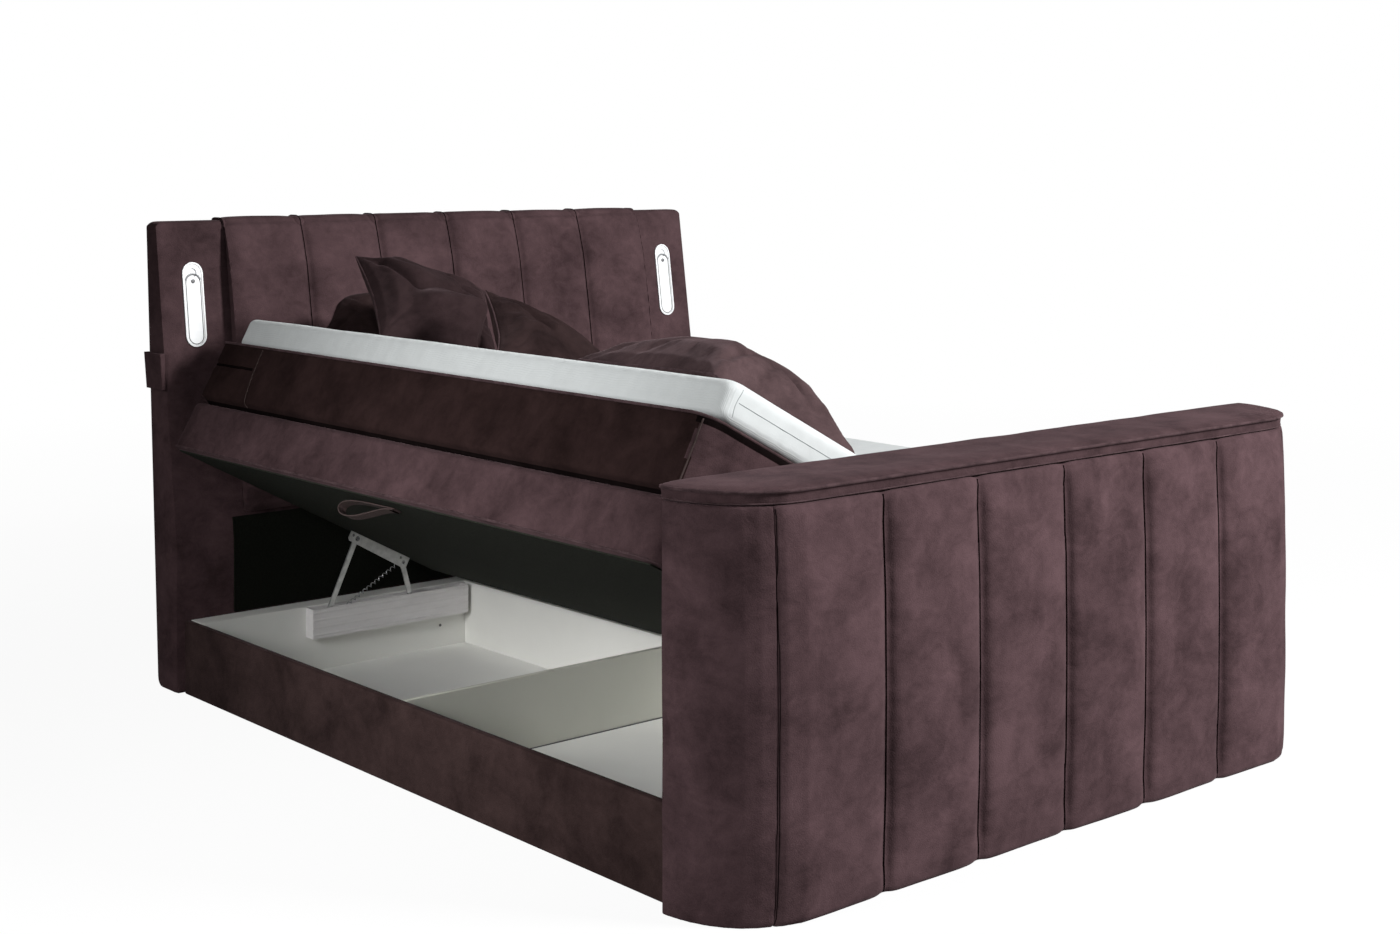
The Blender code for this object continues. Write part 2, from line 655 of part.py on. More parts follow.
def build_channel(name, side, at_head):
    """The ribbed housing on the end rail, open above, with the spring's pin."""
    face = layer(0.0, 0.0, at_head)[0]
    rear = layer(CHANNEL_DEPTH, 0.0, at_head)[1]
    out = -1 if at_head else 1
    pitch = (CHANNEL_HIGH - CHANNEL_LOW) / RIB_COUNT
    outline = [(rear, CHANNEL_HIGH), (rear, CHANNEL_LOW), (face, CHANNEL_LOW)]
    for index in range(RIB_COUNT):
        foot = CHANNEL_LOW + pitch * (index + 0.5) - RIB_HEIGHT / 2
        outline += [(face, foot), (face + out * RIB_STAND, foot + RIB_STAND),
                    (face + out * RIB_STAND, foot + RIB_HEIGHT - RIB_STAND),
                    (face, foot + RIB_HEIGHT)]
    outline.append((face, CHANNEL_HIGH))
    low, high = sorted((side * CHANNEL_INNER, side * CHANNEL_OUTER))
    node = place(name, prism_x(outline, low, high), "channel_plastic")
    near, far = sorted((face - out * CHANNEL_WALL, rear + out * CHANNEL_WALL))
    hollow = block((low + CHANNEL_WALL, near, CHANNEL_LOW + CHANNEL_WALL),
                   (high - CHANNEL_WALL, far, CHANNEL_HIGH + CUT_OVERRUN))
    combine(node, hollow, "DIFFERENCE")
    pin = rod(PIN_RADIUS, (side * SPRING_PIN[0], rear + out * CHANNEL_WALL / 2, SPRING_PIN[1]),
              (side * SPRING_PIN[0], layer(LAYER_ARM + CHANNEL_WALL, 0.0, at_head)[1], SPRING_PIN[1]))
    combine(node, pin, "UNION")
    return node


def build_spring(name, side, at_head):
    """A wound spring between the channel's pin and the bar's inner pin, its ends run straight."""
    pivot = SHORT_PIVOT_OPEN if side == LEFT else closed_pivot(SHORT_PIVOT_OPEN)
    bar_side = layer(LAYER_SPRING, 0.0, at_head)[1]
    channel_side = layer(LAYER_ARM + CHANNEL_WALL, 0.0, at_head)[1]
    depth = (bar_side + channel_side) / 2
    start = Vector((side * SPRING_PIN[0], depth, SPRING_PIN[1]))
    end = Vector((side * pivot[0], depth, pivot[1]))
    run = (end - start).normalized()
    across = run.cross(Vector((0.0, 1.0, 0.0))).normalized()
    beside = run.cross(across)
    clear = PIN_RADIUS + PLAY
    first, last = start + run * clear, end - run * clear
    coil_start, coil_end = first + run * SPRING_END, last - run * SPRING_END
    steps = SPRING_CURLS * SPRING_POINTS_A_CURL
    points = [first, first + run * (2 * SPRING_WIRE)]
    for step in range(steps + 1):
        share = step / steps
        angle = 2 * math.pi * share * SPRING_CURLS
        centre = coil_start.lerp(coil_end, share)
        points.append(centre + SPRING_COIL * (across * math.cos(angle) + beside * math.sin(angle)))
    points += [last - run * (2 * SPRING_WIRE), last]
    curve = bpy.data.curves.new(name, "CURVE")
    curve.dimensions = "3D"
    curve.bevel_depth = SPRING_WIRE
    curve.bevel_resolution = WIRE_RESOLUTION
    curve.use_fill_caps = True
    line = curve.splines.new("POLY")
    line.points.add(len(points) - 1)
    for place_on, point in zip(line.points, points):
        place_on.co = (*point, 1.0)
    return wire_node(name, curve), least_gap(points)


def wire_node(name, curve):
    """A mesh node from a curve, its end caps joined to the tube."""
    carrier = bpy.data.objects.new(name + "_line", curve)
    mesh = bpy.data.meshes.new_from_object(carrier)
    bpy.data.objects.remove(carrier)
    shape = bmesh.new()
    shape.from_mesh(mesh)
    bmesh.ops.remove_doubles(shape, verts=shape.verts, dist=PLAY / 10)
    return place(name, mesh_of(shape), "spring_steel", smooth=True)


def least_gap(points):
    """The least distance between the surfaces of neighbouring curls."""
    nearest = math.inf
    turn = SPRING_POINTS_A_CURL
    for index, point in enumerate(points):
        for other in points[index + turn - 2:index + turn + 3]:
            nearest = min(nearest, (point - other).length)
    return nearest - 2 * SPRING_WIRE


def build_fittings():
    """A channel, a bar, two arms and a spring at both ends of both halves."""
    for side in (LEFT, RIGHT):
        for at_head in (True, False):
            tag = "_" + side_name(side) + ("_head" if at_head else "_foot")
            build_channel("lift_channel" + tag, side, at_head)
            build_bar("lift_bar" + tag, side, at_head)
            build_arm("long_arm" + tag, side, at_head, LONG_PIVOT_OPEN, LONG_FOOT_OPEN)
            build_arm("short_arm" + tag, side, at_head, SHORT_PIVOT_OPEN, SHORT_FOOT_OPEN)
            node, gap = build_spring("lift_spring" + tag, side, at_head)
            print("least gap between the curls of", node.name, round(gap * 1000, 2), "mm")


def head_front(height):
    return HEAD_FRONT_AT_FLOOR + HEAD_FRONT_LEAN * height


def head_rear(height):
    return HEAD_REAR_AT_FLOOR + HEAD_REAR_LEAN * height


def top_arc(offset):
    """Outline in Y and Z over the headboard's top, from the front round to the rear."""
    radius = HEAD_TOP_RADIUS + offset
    centre_height = HEAD_HEIGHT - HEAD_TOP_RADIUS
    front = head_front(centre_height) + HEAD_TOP_RADIUS
    rear = head_rear(centre_height) - HEAD_TOP_RADIUS
    points = []
    for centre, start in ((front, 180.0), (rear, 90.0)):
        for step in range(HEAD_TOP_STEPS + 1):
            angle = math.radians(start - 90.0 * step / HEAD_TOP_STEPS)
            points.append((centre + radius * math.cos(angle),
                           centre_height + radius * math.sin(angle)))
    return points


def build_head_core():
    """The headboard's leaning body, with a recess for each lamp."""
    front_edge = BASE_LENGTH + PLAY
    meets = (front_edge - HEAD_FRONT_AT_FLOOR) / HEAD_FRONT_LEAN
    heel = HEAD_HEEL_RADIUS
    outline = [(front_edge, 0.0), (front_edge, meets)]
    outline += top_arc(0.0)
    for step in range(HEAD_TOP_STEPS + 1):
        angle = math.pi / 2 * step / HEAD_TOP_STEPS
        outline.append((head_rear(heel) - heel * (1 - math.cos(angle)), heel * (1 - math.sin(angle))))
    mesh = prism_x(outline, -HEAD_HALF_WIDTH, HEAD_HALF_WIDTH)
    node = place("headboard_core", mesh, "plum_fabric", smooth=True)
    bevelled(node, HEAD_EDGE, HEAD_EDGE_STEPS)
    for side in (LEFT, RIGHT):
        pocket = lamp_outline(side, LAMP_HALF_WIDTH + PLAY)
        combine(node, lamp_solid(pocket, -LAMP_DEPTH - PLAY, CUT_OVERRUN), "DIFFERENCE")


def build_head_pad():
    """Six upright channels that thin towards the top and curl over it."""
    pitch = 2 * PAD_HALF_WIDTH / PAD_CHANNELS
    stations = []
    for channel in range(PAD_CHANNELS):
        for share, puff in zip(PAD_CHANNEL_SHARES, PAD_PUFF_SHARES):
            stations.append((-PAD_HALF_WIDTH + pitch * (channel + share), puff))
    stations[0] = (-PAD_HALF_WIDTH, PAD_END_PUFF)
    stations.append((PAD_HALF_WIDTH, PAD_END_PUFF))
    rings = [pad_section(x, puff) for x, puff in stations]
    place("headboard_pad", skin(rings), "plum_fabric", smooth=True)


def pad_section(x, puff):
    """Outline of the pad at one place across the bed."""
    lean = Vector((HEAD_FRONT_LEAN, 1.0)).normalized()
    out = Vector((-lean.y, lean.x))
    reach = HEAD_HEIGHT - HEAD_TOP_RADIUS - PAD_LOW
    points = []
    for share, thick in zip(PAD_HEIGHT_SHARES, PAD_THICK_SHARES):
        height = PAD_LOW + reach * share
        stand = thick * (PAD_SEAM_THICK + PAD_PUFF * puff) + PLAY
        points.append((head_front(height) + out.x * stand, height + out.y * stand))
    over = PAD_OVER_TOP * (PAD_OVER_SEAM_SHARE + (1 - PAD_OVER_SEAM_SHARE) * puff)
    outer = top_arc(over)[1:]
    rear_low = HEAD_HEIGHT - PAD_REAR_EDGE
    points += outer
    points += [(head_rear(rear_low) + over / 2, rear_low),
               (head_rear(rear_low) + PLAY, rear_low - PLAY)]
    points += list(reversed(top_arc(PLAY)))
    points.append((head_front(PAD_LOW) + out.x * PLAY, PAD_LOW))
    return [(x, y, z) for y, z in points]


def build_head_panel():
    """The fleece cover on the headboard's hidden lower part."""
    meets = (BASE_LENGTH + PLAY - HEAD_FRONT_AT_FLOOR) / HEAD_FRONT_LEAN
    outline = []
    for stand, heights in ((PLAY, (PANEL_LOW, meets, PANEL_HIGH)),
                           (PLAY + PANEL_THICK, (PANEL_HIGH, meets, PANEL_LOW))):
        for height in heights:
            outline.append((max(head_front(height), BASE_LENGTH + PLAY) - stand, height))
    place("headboard_lining", prism_x(outline, -PANEL_HALF_WIDTH, PANEL_HALF_WIDTH), "lining_fleece")


def lamp_outline(side, half_width, ends=(LAMP_LOW, LAMP_HIGH)):
    """Points (across, along the slope) of an upright stadium, along measured from its lower end."""
    lean = math.hypot(1.0, HEAD_FRONT_LEAN)
    low, high = ends
    length = (high - low) * lean
    grow = half_width - LAMP_HALF_WIDTH
    outline = []
    for centre, start in ((length - LAMP_HALF_WIDTH, 0.0), (LAMP_HALF_WIDTH, 180.0)):
        for step in range(LAMP_SIDES + 1):
            angle = math.radians(start + 180.0 * step / LAMP_SIDES)
            outline.append((side * LAMP_ACROSS + (LAMP_HALF_WIDTH + grow) * math.cos(angle),
                            centre + (LAMP_HALF_WIDTH + grow) * math.sin(angle)))
    return outline


def on_wing(across, along, out):
    """A point on the sloping wing: so far up the slope from the lamp's lower end, so far out."""
    lean = Vector((0.0, HEAD_FRONT_LEAN, 1.0)).normalized()
    outward = Vector((0.0, -lean.z, lean.y))
    foot = Vector((across, head_front(LAMP_LOW), LAMP_LOW))
    return foot + lean * along + outward * out


def lamp_solid(outline, low, high):
    return skin([[on_wing(x, along, out) for x, along in outline] for out in (low, high)])


def build_lamp(side):
    """A lamp's housing and the arm that folds out of it; returns a point on the arm's hinge."""
    tag = side_name(side)
    outline = lamp_outline(side, LAMP_HALF_WIDTH)
    housing = place("lamp_housing_" + tag, lamp_solid(outline, -LAMP_DEPTH, LAMP_STAND),
                    "lamp_plastic", smooth=True)
    hollow = lamp_outline(side, LAMP_HALF_WIDTH - LAMP_RIM)
    combine(housing, lamp_solid(hollow, LAMP_BACK - LAMP_DEPTH, CUT_OVERRUN), "DIFFERENCE")
    inner = lamp_outline(side, LAMP_HALF_WIDTH - LAMP_RIM - LAMP_PLAY)
    face = LAMP_STAND - LAMP_ARM_SUNK
    axis = on_wing(side * LAMP_ACROSS, LAMP_RIM + LAMP_PLAY, LAMP_STAND + PLAY)
    arm = lamp_solid(inner, LAMP_BACK - LAMP_DEPTH + PLAY, face)
    node = place("lamp_arm_" + tag, arm, "lamp_plastic", axis, smooth=True)
    length = (LAMP_HIGH - LAMP_LOW) * math.hypot(1.0, HEAD_FRONT_LEAN)
    top = length - SCOOP_BELOW_TOP
    scoop = rod(SCOOP_RADIUS, on_wing(side * LAMP_ACROSS, top, face - SCOOP_DEPTH),
                on_wing(side * LAMP_ACROSS, top, CUT_OVERRUN), 2 * PIN_SIDES)
    combine(node, scoop, "DIFFERENCE", axis)
    return axis


def build_pocket():
    """A flat pouch on the headboard's left side, wider at its mouth."""
    side_face = -HEAD_HALF_WIDTH - PLAY
    rings = []
    for height, deep in ((POCKET_LOW, POCKET_DEEP_LOW), (POCKET_HIGH, POCKET_DEEP_HIGH)):
        foot = POCKET_FOOT + HEAD_REAR_LEAN * (height - POCKET_LOW)
        radii = (POCKET_WALL,) * 4
        rings.append(corner_ring(side_face - deep, side_face, foot, foot + POCKET_LENGTH, height, radii))
    node = place("side_pocket", skin(rings), "plum_fabric", smooth=True)
    inside = []
    for height, deep in ((POCKET_LOW + POCKET_WALL, POCKET_DEEP_LOW),
                         (POCKET_HIGH + CUT_OVERRUN, POCKET_DEEP_HIGH)):
        foot = POCKET_FOOT + HEAD_REAR_LEAN * (height - POCKET_LOW) + POCKET_WALL
        radii = (POCKET_WALL / 2,) * 4
        inside.append(corner_ring(side_face - deep + POCKET_WALL, side_face - POCKET_WALL, foot,
                                  foot + POCKET_LENGTH - 2 * POCKET_WALL, height, radii))
    combine(node, skin(inside), "DIFFERENCE")


def foot_front(x, inset=0.0):
    """Y of the footboard's front over its plan, rounded back towards both ends."""
    straight = FOOT_HALF_WIDTH - FOOT_ROUND_X
    past = max(0.0, abs(x) - straight) / (FOOT_ROUND_X - inset)
    return -(FOOT_ROUND_Y - inset) * math.sqrt(max(0.0, 1.0 - past * past))


def build_foot_front():
    """Six padded channels between the corner seams, bulging at mid height."""
    stations = []
    for start, end in zip(FOOT_SEAMS, FOOT_SEAMS[1:]):
        for share, puff in zip(FOOT_CHANNEL_SHARES, FOOT_PUFF_SHARES):
            stations.append((start + (end - start) * share, puff))
    stations.append((FOOT_SEAMS[-1], 0.0))
    rings = []
    for share, swell in zip(FOOT_HEIGHT_SHARES, FOOT_BULGE_SHARES):
        height = FOOT_BODY_HIGH * share
        ring = []
        for x, puff in stations:
            fullness = min(1.0, FOOT_PUFF_LEAST_SHARE + swell)
            out = FOOT_BULGE * swell + FOOT_PUFF * puff * fullness
            ring.append((x, foot_front(x) - out, height))
        straight = FOOT_HALF_WIDTH - FOOT_ROUND_X
        for x in (FOOT_SEAMS[-1], straight, -straight, FOOT_SEAMS[0]):
            ring.append((x, foot_front(x) + FOOT_SHELL, height))
        rings.append(ring)
    place("footboard_front", skin(rings), "plum_fabric", smooth=True)


def build_foot_end(side):
    """The rounded end from the corner seam back to the bed."""
    seam = FOOT_SEAMS[-1] + PLAY
    straight = FOOT_HALF_WIDTH - FOOT_ROUND_X
    start = math.asin((seam - straight) / FOOT_ROUND_X)
    inner_round_x, inner_round_y = FOOT_ROUND_X - FOOT_END_SHELL, FOOT_ROUND_Y - FOOT_SHELL
    inner_start = math.asin((seam - straight) / inner_round_x)
    end = math.acos(FOOT_REAR_GAP / FOOT_ROUND_Y)
    rings = []
    for share, swell in zip(FOOT_HEIGHT_SHARES, FOOT_BULGE_SHARES):
        height = FOOT_BODY_HIGH * share
        ring = []
        for step in range(FOOT_END_STEPS + 1):
            part = step / FOOT_END_STEPS
            angle = start + (end - start) * part
            puff = FOOT_PUFF * FOOT_END_PUFF_SHARE * math.sin(math.pi * part)
            out = (FOOT_BULGE * swell + puff) * math.cos(angle)
            ring.append((straight + FOOT_ROUND_X * math.sin(angle),
                         -FOOT_ROUND_Y * math.cos(angle) - out, height))
        for step in range(FOOT_END_STEPS + 1):
            part = 1.0 - step / FOOT_END_STEPS
            angle = inner_start + (end - inner_start) * part
            ring.append((straight + inner_round_x * math.sin(angle),
                         min(-FOOT_REAR_GAP, -inner_round_y * math.cos(angle)), height))
        rings.append(ring)
    mesh = to_side(skin(rings), side)
    place("footboard_end_" + side_name(side), mesh, "plum_fabric", smooth=True)


def foot_lid_ring(inset, height):
    """Plan outline of the footboard's lid at one height."""
    straight = FOOT_HALF_WIDTH - FOOT_ROUND_X
    round_x = FOOT_ROUND_X + FOOT_LID_LIP - inset
    round_y = FOOT_ROUND_Y + FOOT_LID_LIP - inset
    rear = FOOT_LID_REAR - max(0.0, inset) * FOOT_LID_REAR_SHARE
    ring = []
    for side in (RIGHT, LEFT):
        for step in range(FOOT_END_STEPS + 1):
            part = step / FOOT_END_STEPS
            part = 1.0 - part if side == RIGHT else part
            angle = math.pi / 2 * part
            ring.append((side * (straight + round_x * math.sin(angle)),
                         min(rear, -round_y * math.cos(angle)), height))
    return ring


def build_foot_lid():
    """The padded lid that opens for the television, hinged along its front edge."""
    rings = [foot_lid_ring(inset, height)
             for height, inset in zip(FOOT_LID_HEIGHTS, FOOT_LID_INSETS)]
    pivot = (0.0, *FOOT_HINGE_AXIS)
    place("footboard_lid", skin(rings), "plum_fabric", pivot, smooth=True)


def build_foot_inside():
    """The footboard's rear panel and the floor of its hollow."""
    rear = -PLAY - FOOT_REAR_PANEL
    board("footboard_rear", (-FOOT_REAR_HALF_WIDTH, rear, 0.0),
          (FOOT_REAR_HALF_WIDTH, -PLAY, FOOT_BODY_HIGH), "plum_fabric")
    board("footboard_floor", (-FOOT_FLOOR_HALF_WIDTH, FOOT_FLOOR_FRONT, FLOOR_LOW),
          (FOOT_FLOOR_HALF_WIDTH, rear - PLAY, FLOOR_LOW + FOOT_FLOOR_THICK), "white_board",
          SMALL_EDGE)


def build_lift():
    """A square tube with a ram in it that carries the television's bracket."""
    half, wall = LIFT_HALF_WIDTH, LIFT_TUBE_WALL
    tube = place("lift_tube", block((-half, LIFT_FRONT, LIFT_LOW), (half, LIFT_REAR, LIFT_TUBE_HIGH)),
                 "lift_enamel")
    bore = block((wall - half, LIFT_FRONT + wall, LIFT_LOW + wall),
                 (half - wall, LIFT_REAR - wall, LIFT_TUBE_HIGH + CUT_OVERRUN))
    combine(tube, bore, "DIFFERENCE")
    inset = wall + LIFT_SLIDING_PLAY
    board("lift_ram", (inset - half, LIFT_FRONT + inset, LIFT_RAM_LOW),
          (half - inset, LIFT_REAR - inset, LIFT_RAM_HIGH), "zinc_steel", SMALL_EDGE)
    build_bracket(LIFT_REAR - inset + PLAY)


def build_bracket(face):
    """A plate on the ram's rear face, slotted for the television's screws."""
    outline = block((-BRACKET_HALF_WIDTH, face, BRACKET_LOW),
                    (BRACKET_HALF_WIDTH, face + BRACKET_THICK, BRACKET_HIGH))
    plate = place("television_bracket", outline, "lift_enamel")
    for side in (LEFT, RIGHT):
        for height in BRACKET_SLOT_HEIGHTS:
            across = side * BRACKET_SLOT_ACROSS
            slot = block((across - BRACKET_SLOT_HALF, face - CUT_OVERRUN, height - BRACKET_SLOT / 2),
                         (across + BRACKET_SLOT_HALF, face + BRACKET_THICK + CUT_OVERRUN,
                          height + BRACKET_SLOT / 2))
            combine(plate, slot, "DIFFERENCE")


def spread(index, count):
    """A share from -1 to 1 whose steps close up towards both ends."""
    return math.sin(math.pi / 2 * (2 * index / count - 1))


def cushion_mesh(width, length, thick):
    """A square cushion: crowned in the middle, thin at the rim, its sides drawn in."""
    shape = bmesh.new()
    count = CUSHION_STEPS
    layers = []
    for face in (1, -1):
        rows = []
        for i in range(count + 1):
            row = []
            for j in range(count + 1):
                u, v = spread(i, count), spread(j, count)
                x = width / 2 * u * (1 - CUSHION_DRAW * (1 - v * v))
                y = length / 2 * v * (1 - CUSHION_DRAW * (1 - u * u))
                crown = max(0.0, (1 - u * u) * (1 - v * v)) ** CUSHION_FULLNESS
                z = face * (CUSHION_RIM + (thick / 2 - CUSHION_RIM) * crown)
                row.append(shape.verts.new((x, y, z)))
            rows.append(row)
        layers.append(rows)
    for face, rows in zip((1, -1), layers):
        for i in range(count):
            for j in range(count):
                loop = [rows[i][j], rows[i + 1][j], rows[i + 1][j + 1], rows[i][j + 1]]
                shape.faces.new(loop if face == 1 else loop[::-1])
    top, bottom = layers
    rim = [(i, 0) for i in range(count)] + [(count, j) for j in range(count)]
    rim += [(i, count) for i in range(count, 0, -1)] + [(0, j) for j in range(count, 0, -1)]
    for (i, j), (k, m) in zip(rim, rim[1:] + rim[:1]):
        shape.faces.new((top[i][j], bottom[i][j], bottom[k][m], top[k][m]))
    return mesh_of(shape)


def build_cushions():
    """The loose cushions, each turned and set down on the open half's topper."""
    topper_top = TOPPER_HIGH + TOPPER_CROWN
    for name, width, length, thick, (x, y), raised, turns in CUSHIONS:
        mesh = cushion_mesh(width, length, thick)
        mesh.transform(Euler([math.radians(angle) for angle in turns]).to_matrix().to_4x4())
        lowest = min(vertex.co.z for vertex in mesh.vertices)
        mesh.transform(Matrix.Translation((x, y, topper_top + PLAY + raised - lowest)))
        rest_on_hinge(name, mesh, "plum_cushion_fabric", OPEN, True)


def overall_bounds():
    """Lowest and highest corner of everything as built."""
    graph = bpy.context.evaluated_depsgraph_get()
    points = []
    for node in BED.objects:
        shaped = node.evaluated_get(graph)
        points += [shaped.matrix_world @ vertex.co for vertex in shaped.to_mesh().vertices]
        shaped.to_mesh_clear()
    low = Vector([min(point[axis] for point in points) for axis in range(3)])
    high = Vector([max(point[axis] for point in points) for axis in range(3)])
    return low, high


def centre_on_origin():
    """Move the bed so that its bottom centre is the origin, and say how far it moved."""
    bpy.context.view_layer.update()
    low, high = overall_bounds()
    shift = Vector((-(low.x + high.x) / 2, -(low.y + high.y) / 2, -low.z))
    for node in list(BED.objects) + list(CUTTERS.objects):
        node.matrix_world = Matrix.Translation(shift) @ node.matrix_world
    print("moved by", [round(value, 6) for value in shift])
    print("size", [round(value, 4) for value in high - low])
    return shift


def main():
    build_base()
    for side in (LEFT, RIGHT):
        build_half(side)
    build_fittings()
    build_head_core()
    build_head_pad()
    build_head_panel()
    axes = {"lamp_" + side_name(side): build_lamp(side) for side in (LEFT, RIGHT)}
    build_pocket()
    build_foot_front()
    for side in (LEFT, RIGHT):
        build_foot_end(side)
    build_foot_inside()
    build_foot_lid()
    build_lift()
    build_cushions()
    shift = centre_on_origin()
    for name, axis in axes.items():
        print("axis of", name, [round(value, 6) for value in axis + shift])
    print("long arm turns", round(arm_turn(LONG_PIVOT_OPEN, LONG_FOOT_OPEN), 3))
    print("short arm turns", round(arm_turn(SHORT_PIVOT_OPEN, SHORT_FOOT_OPEN), 3))
    for name in ("lift_bar_left_head", "long_arm_left_head", "short_arm_left_head",
                 "long_arm_right_foot", "short_arm_right_foot", "footboard_lid"):
        origin = bpy.data.objects[name].matrix_world.translation
        print("origin of", name, [round(value, 5) for value in origin])


main()
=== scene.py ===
"""Box spring bed with lifting halves: the upholstery, fittings and finishes around the CAD frame."""

import json
import logging
import math
from collections.abc import Callable, Iterator
from contextlib import contextmanager
from dataclasses import dataclass
from enum import Enum

import bpy
from mathutils import Euler, Matrix, Vector, noise

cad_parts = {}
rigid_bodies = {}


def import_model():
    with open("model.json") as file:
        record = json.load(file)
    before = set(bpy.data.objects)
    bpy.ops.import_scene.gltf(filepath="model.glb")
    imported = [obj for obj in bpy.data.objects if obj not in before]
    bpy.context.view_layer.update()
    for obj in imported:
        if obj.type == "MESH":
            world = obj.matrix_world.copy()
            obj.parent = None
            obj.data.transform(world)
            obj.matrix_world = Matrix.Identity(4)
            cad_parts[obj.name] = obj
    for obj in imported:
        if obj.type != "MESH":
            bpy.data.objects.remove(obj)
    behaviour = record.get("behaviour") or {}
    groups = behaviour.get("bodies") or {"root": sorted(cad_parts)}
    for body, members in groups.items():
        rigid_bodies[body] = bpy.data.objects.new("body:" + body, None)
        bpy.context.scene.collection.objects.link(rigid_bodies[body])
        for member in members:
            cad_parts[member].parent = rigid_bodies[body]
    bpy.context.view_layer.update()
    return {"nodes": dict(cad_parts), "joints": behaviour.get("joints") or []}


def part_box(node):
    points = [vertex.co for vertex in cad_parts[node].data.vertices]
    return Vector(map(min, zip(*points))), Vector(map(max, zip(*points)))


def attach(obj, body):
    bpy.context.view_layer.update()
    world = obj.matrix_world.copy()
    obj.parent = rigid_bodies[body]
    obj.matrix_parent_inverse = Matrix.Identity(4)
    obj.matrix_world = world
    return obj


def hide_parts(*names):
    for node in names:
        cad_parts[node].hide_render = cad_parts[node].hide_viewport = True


LOG = logging.getLogger("box_spring_bed")

Colour = tuple[float, float, float]
Point = tuple[float, float, float]
Thing = bpy.types.Object
Socket = bpy.types.NodeSocket


class Side(Enum):
    """A side of the bed, seen from its foot."""

    LEFT = -1
    RIGHT = 1

    @property
    def tag(self) -> str:
        """The side's word in node names."""
        return self.name.lower()


class Part(Enum):
    """What a selection in edit mode is made of."""

    POINTS = "VERT"
    FACES = "FACE"


# Working on a mesh as by hand


def only(thing: Thing) -> None:
    """Select one object alone and make it the active one.

    Args:
        thing: The object to work on.
    """
    bpy.ops.object.select_all(action="DESELECT")
    thing.select_set(True)
    bpy.context.view_layer.objects.active = thing


@contextmanager
def editing(thing: Thing, whole: bool = False) -> Iterator[None]:
    """Edit mode on one object, left again at the end.

    Args:
        thing: The object to edit.
        whole: Whether all of it is selected first.
    """
    only(thing)
    bpy.ops.object.mode_set(mode="EDIT")
    if whole:
        bpy.ops.mesh.select_all(action="SELECT")
    try:
        yield
    finally:
        bpy.ops.object.mode_set(mode="OBJECT")


def clamped(value: float) -> float:
    """A value kept between 0 and 1."""
    return min(1.0, max(0.0, value))


def shares(steps: int) -> list[float]:
    """Even shares from 0 to 1, with both ends."""
    return [step / steps for step in range(steps + 1)]


def apply_modifier(thing: Thing, kind: str, **settings: object) -> None:
    """Add a modifier, set it up and apply it.

    Args:
        thing: The object.
        kind: The modifier's type.
        **settings: Its properties.
    """
    only(thing)
    step = thing.modifiers.new(kind.lower(), kind)
    for name, value in settings.items():
        setattr(step, name, value)
    bpy.ops.object.modifier_apply(modifier=step.name)


def settle_transform(thing: Thing) -> None:
    """Put the object's place, turn and size into its mesh."""
    only(thing)
    bpy.ops.object.transform_apply(location=True, rotation=True, scale=True)


def box_piece(name: str, low: Vector, high: Vector) -> Thing:
    """A cube primitive drawn to two opposite corners.

    Args:
        name: Name of the piece.
        low: Lowest corner.
        high: Highest corner.

    Returns:
        The new object, its place in its mesh.
    """
    low, high = Vector(low), Vector(high)
    bpy.ops.object.select_all(action="DESELECT")
    bpy.ops.mesh.primitive_cube_add(size=1.0, location=(low + high) / 2)
    piece = bpy.context.active_object
    piece.name = name
    piece.scale = high - low
    settle_transform(piece)
    return piece


def disc_piece(name: str, centre: Vector, toward: Vector, radius: float, depth: float,
               sides: int = 24) -> Thing:
    """A round disc standing on a face.

    Args:
        name: Name of the piece.
        centre: Middle of the disc's inner face.
        toward: Direction in which it stands out.
        radius: Its radius.
        depth: How far it stands out.
        sides: Sides of the circle.

    Returns:
        The new object.
    """
    toward = Vector(toward).normalized()
    bpy.ops.object.select_all(action="DESELECT")
    bpy.ops.mesh.primitive_cylinder_add(vertices=sides, radius=radius, depth=depth,
                                        location=Vector(centre) + toward * depth / 2,
                                        rotation=toward.to_track_quat("Z", "Y").to_euler())
    piece = bpy.context.active_object
    piece.name = name
    settle_transform(piece)
    return piece


def copy_of(node: str, name: str) -> Thing:
    """A merged copy of a CAD node, ready to be worked on.

    Args:
        node: The CAD node.
        name: Name of the new piece.

    Returns:
        The copy.
    """
    source = FRAME["nodes"][node]
    piece = bpy.data.objects.new(name, source.data.copy())
    bpy.context.scene.collection.objects.link(piece)
    piece.data.materials.clear()
    only(piece)
    bpy.ops.mesh.customdata_custom_splitnormals_clear()
    with editing(piece, whole=True):
        bpy.ops.mesh.select_mode(type=Part.POINTS.value)
        bpy.ops.mesh.remove_doubles(threshold=MERGE)
    return piece


def remeshed(piece: Thing, voxel: float, passes: int = 3) -> Thing:
    """Give a piece an even skin of small faces.

    Args:
        piece: The piece.
        voxel: Size of the faces.
        passes: Smoothing passes after it.

    Returns:
        The same piece.
    """
    only(piece)
    piece.data.remesh_voxel_size = voxel
    piece.data.remesh_voxel_adaptivity = 0.0
    piece.data.use_remesh_fix_poles = False
    bpy.ops.object.voxel_remesh()
    if passes:
        apply_modifier(piece, "SMOOTH", factor=0.5, iterations=passes)
    return piece


def moved(piece: Thing, push: Callable[[Vector, Vector], Vector]) -> Thing:
    """Move every point of a piece by given offsets.

    Args:
        piece: The piece.
        push: Gives the offset of a point from its place and normal.

    Returns:
        The same piece.
    """
    mesh = piece.data
    offsets = [push(vertex.co, vertex.normal) for vertex in mesh.vertices]
    for vertex, offset in zip(mesh.vertices, offsets):
        vertex.co += offset
    mesh.update()
    return piece


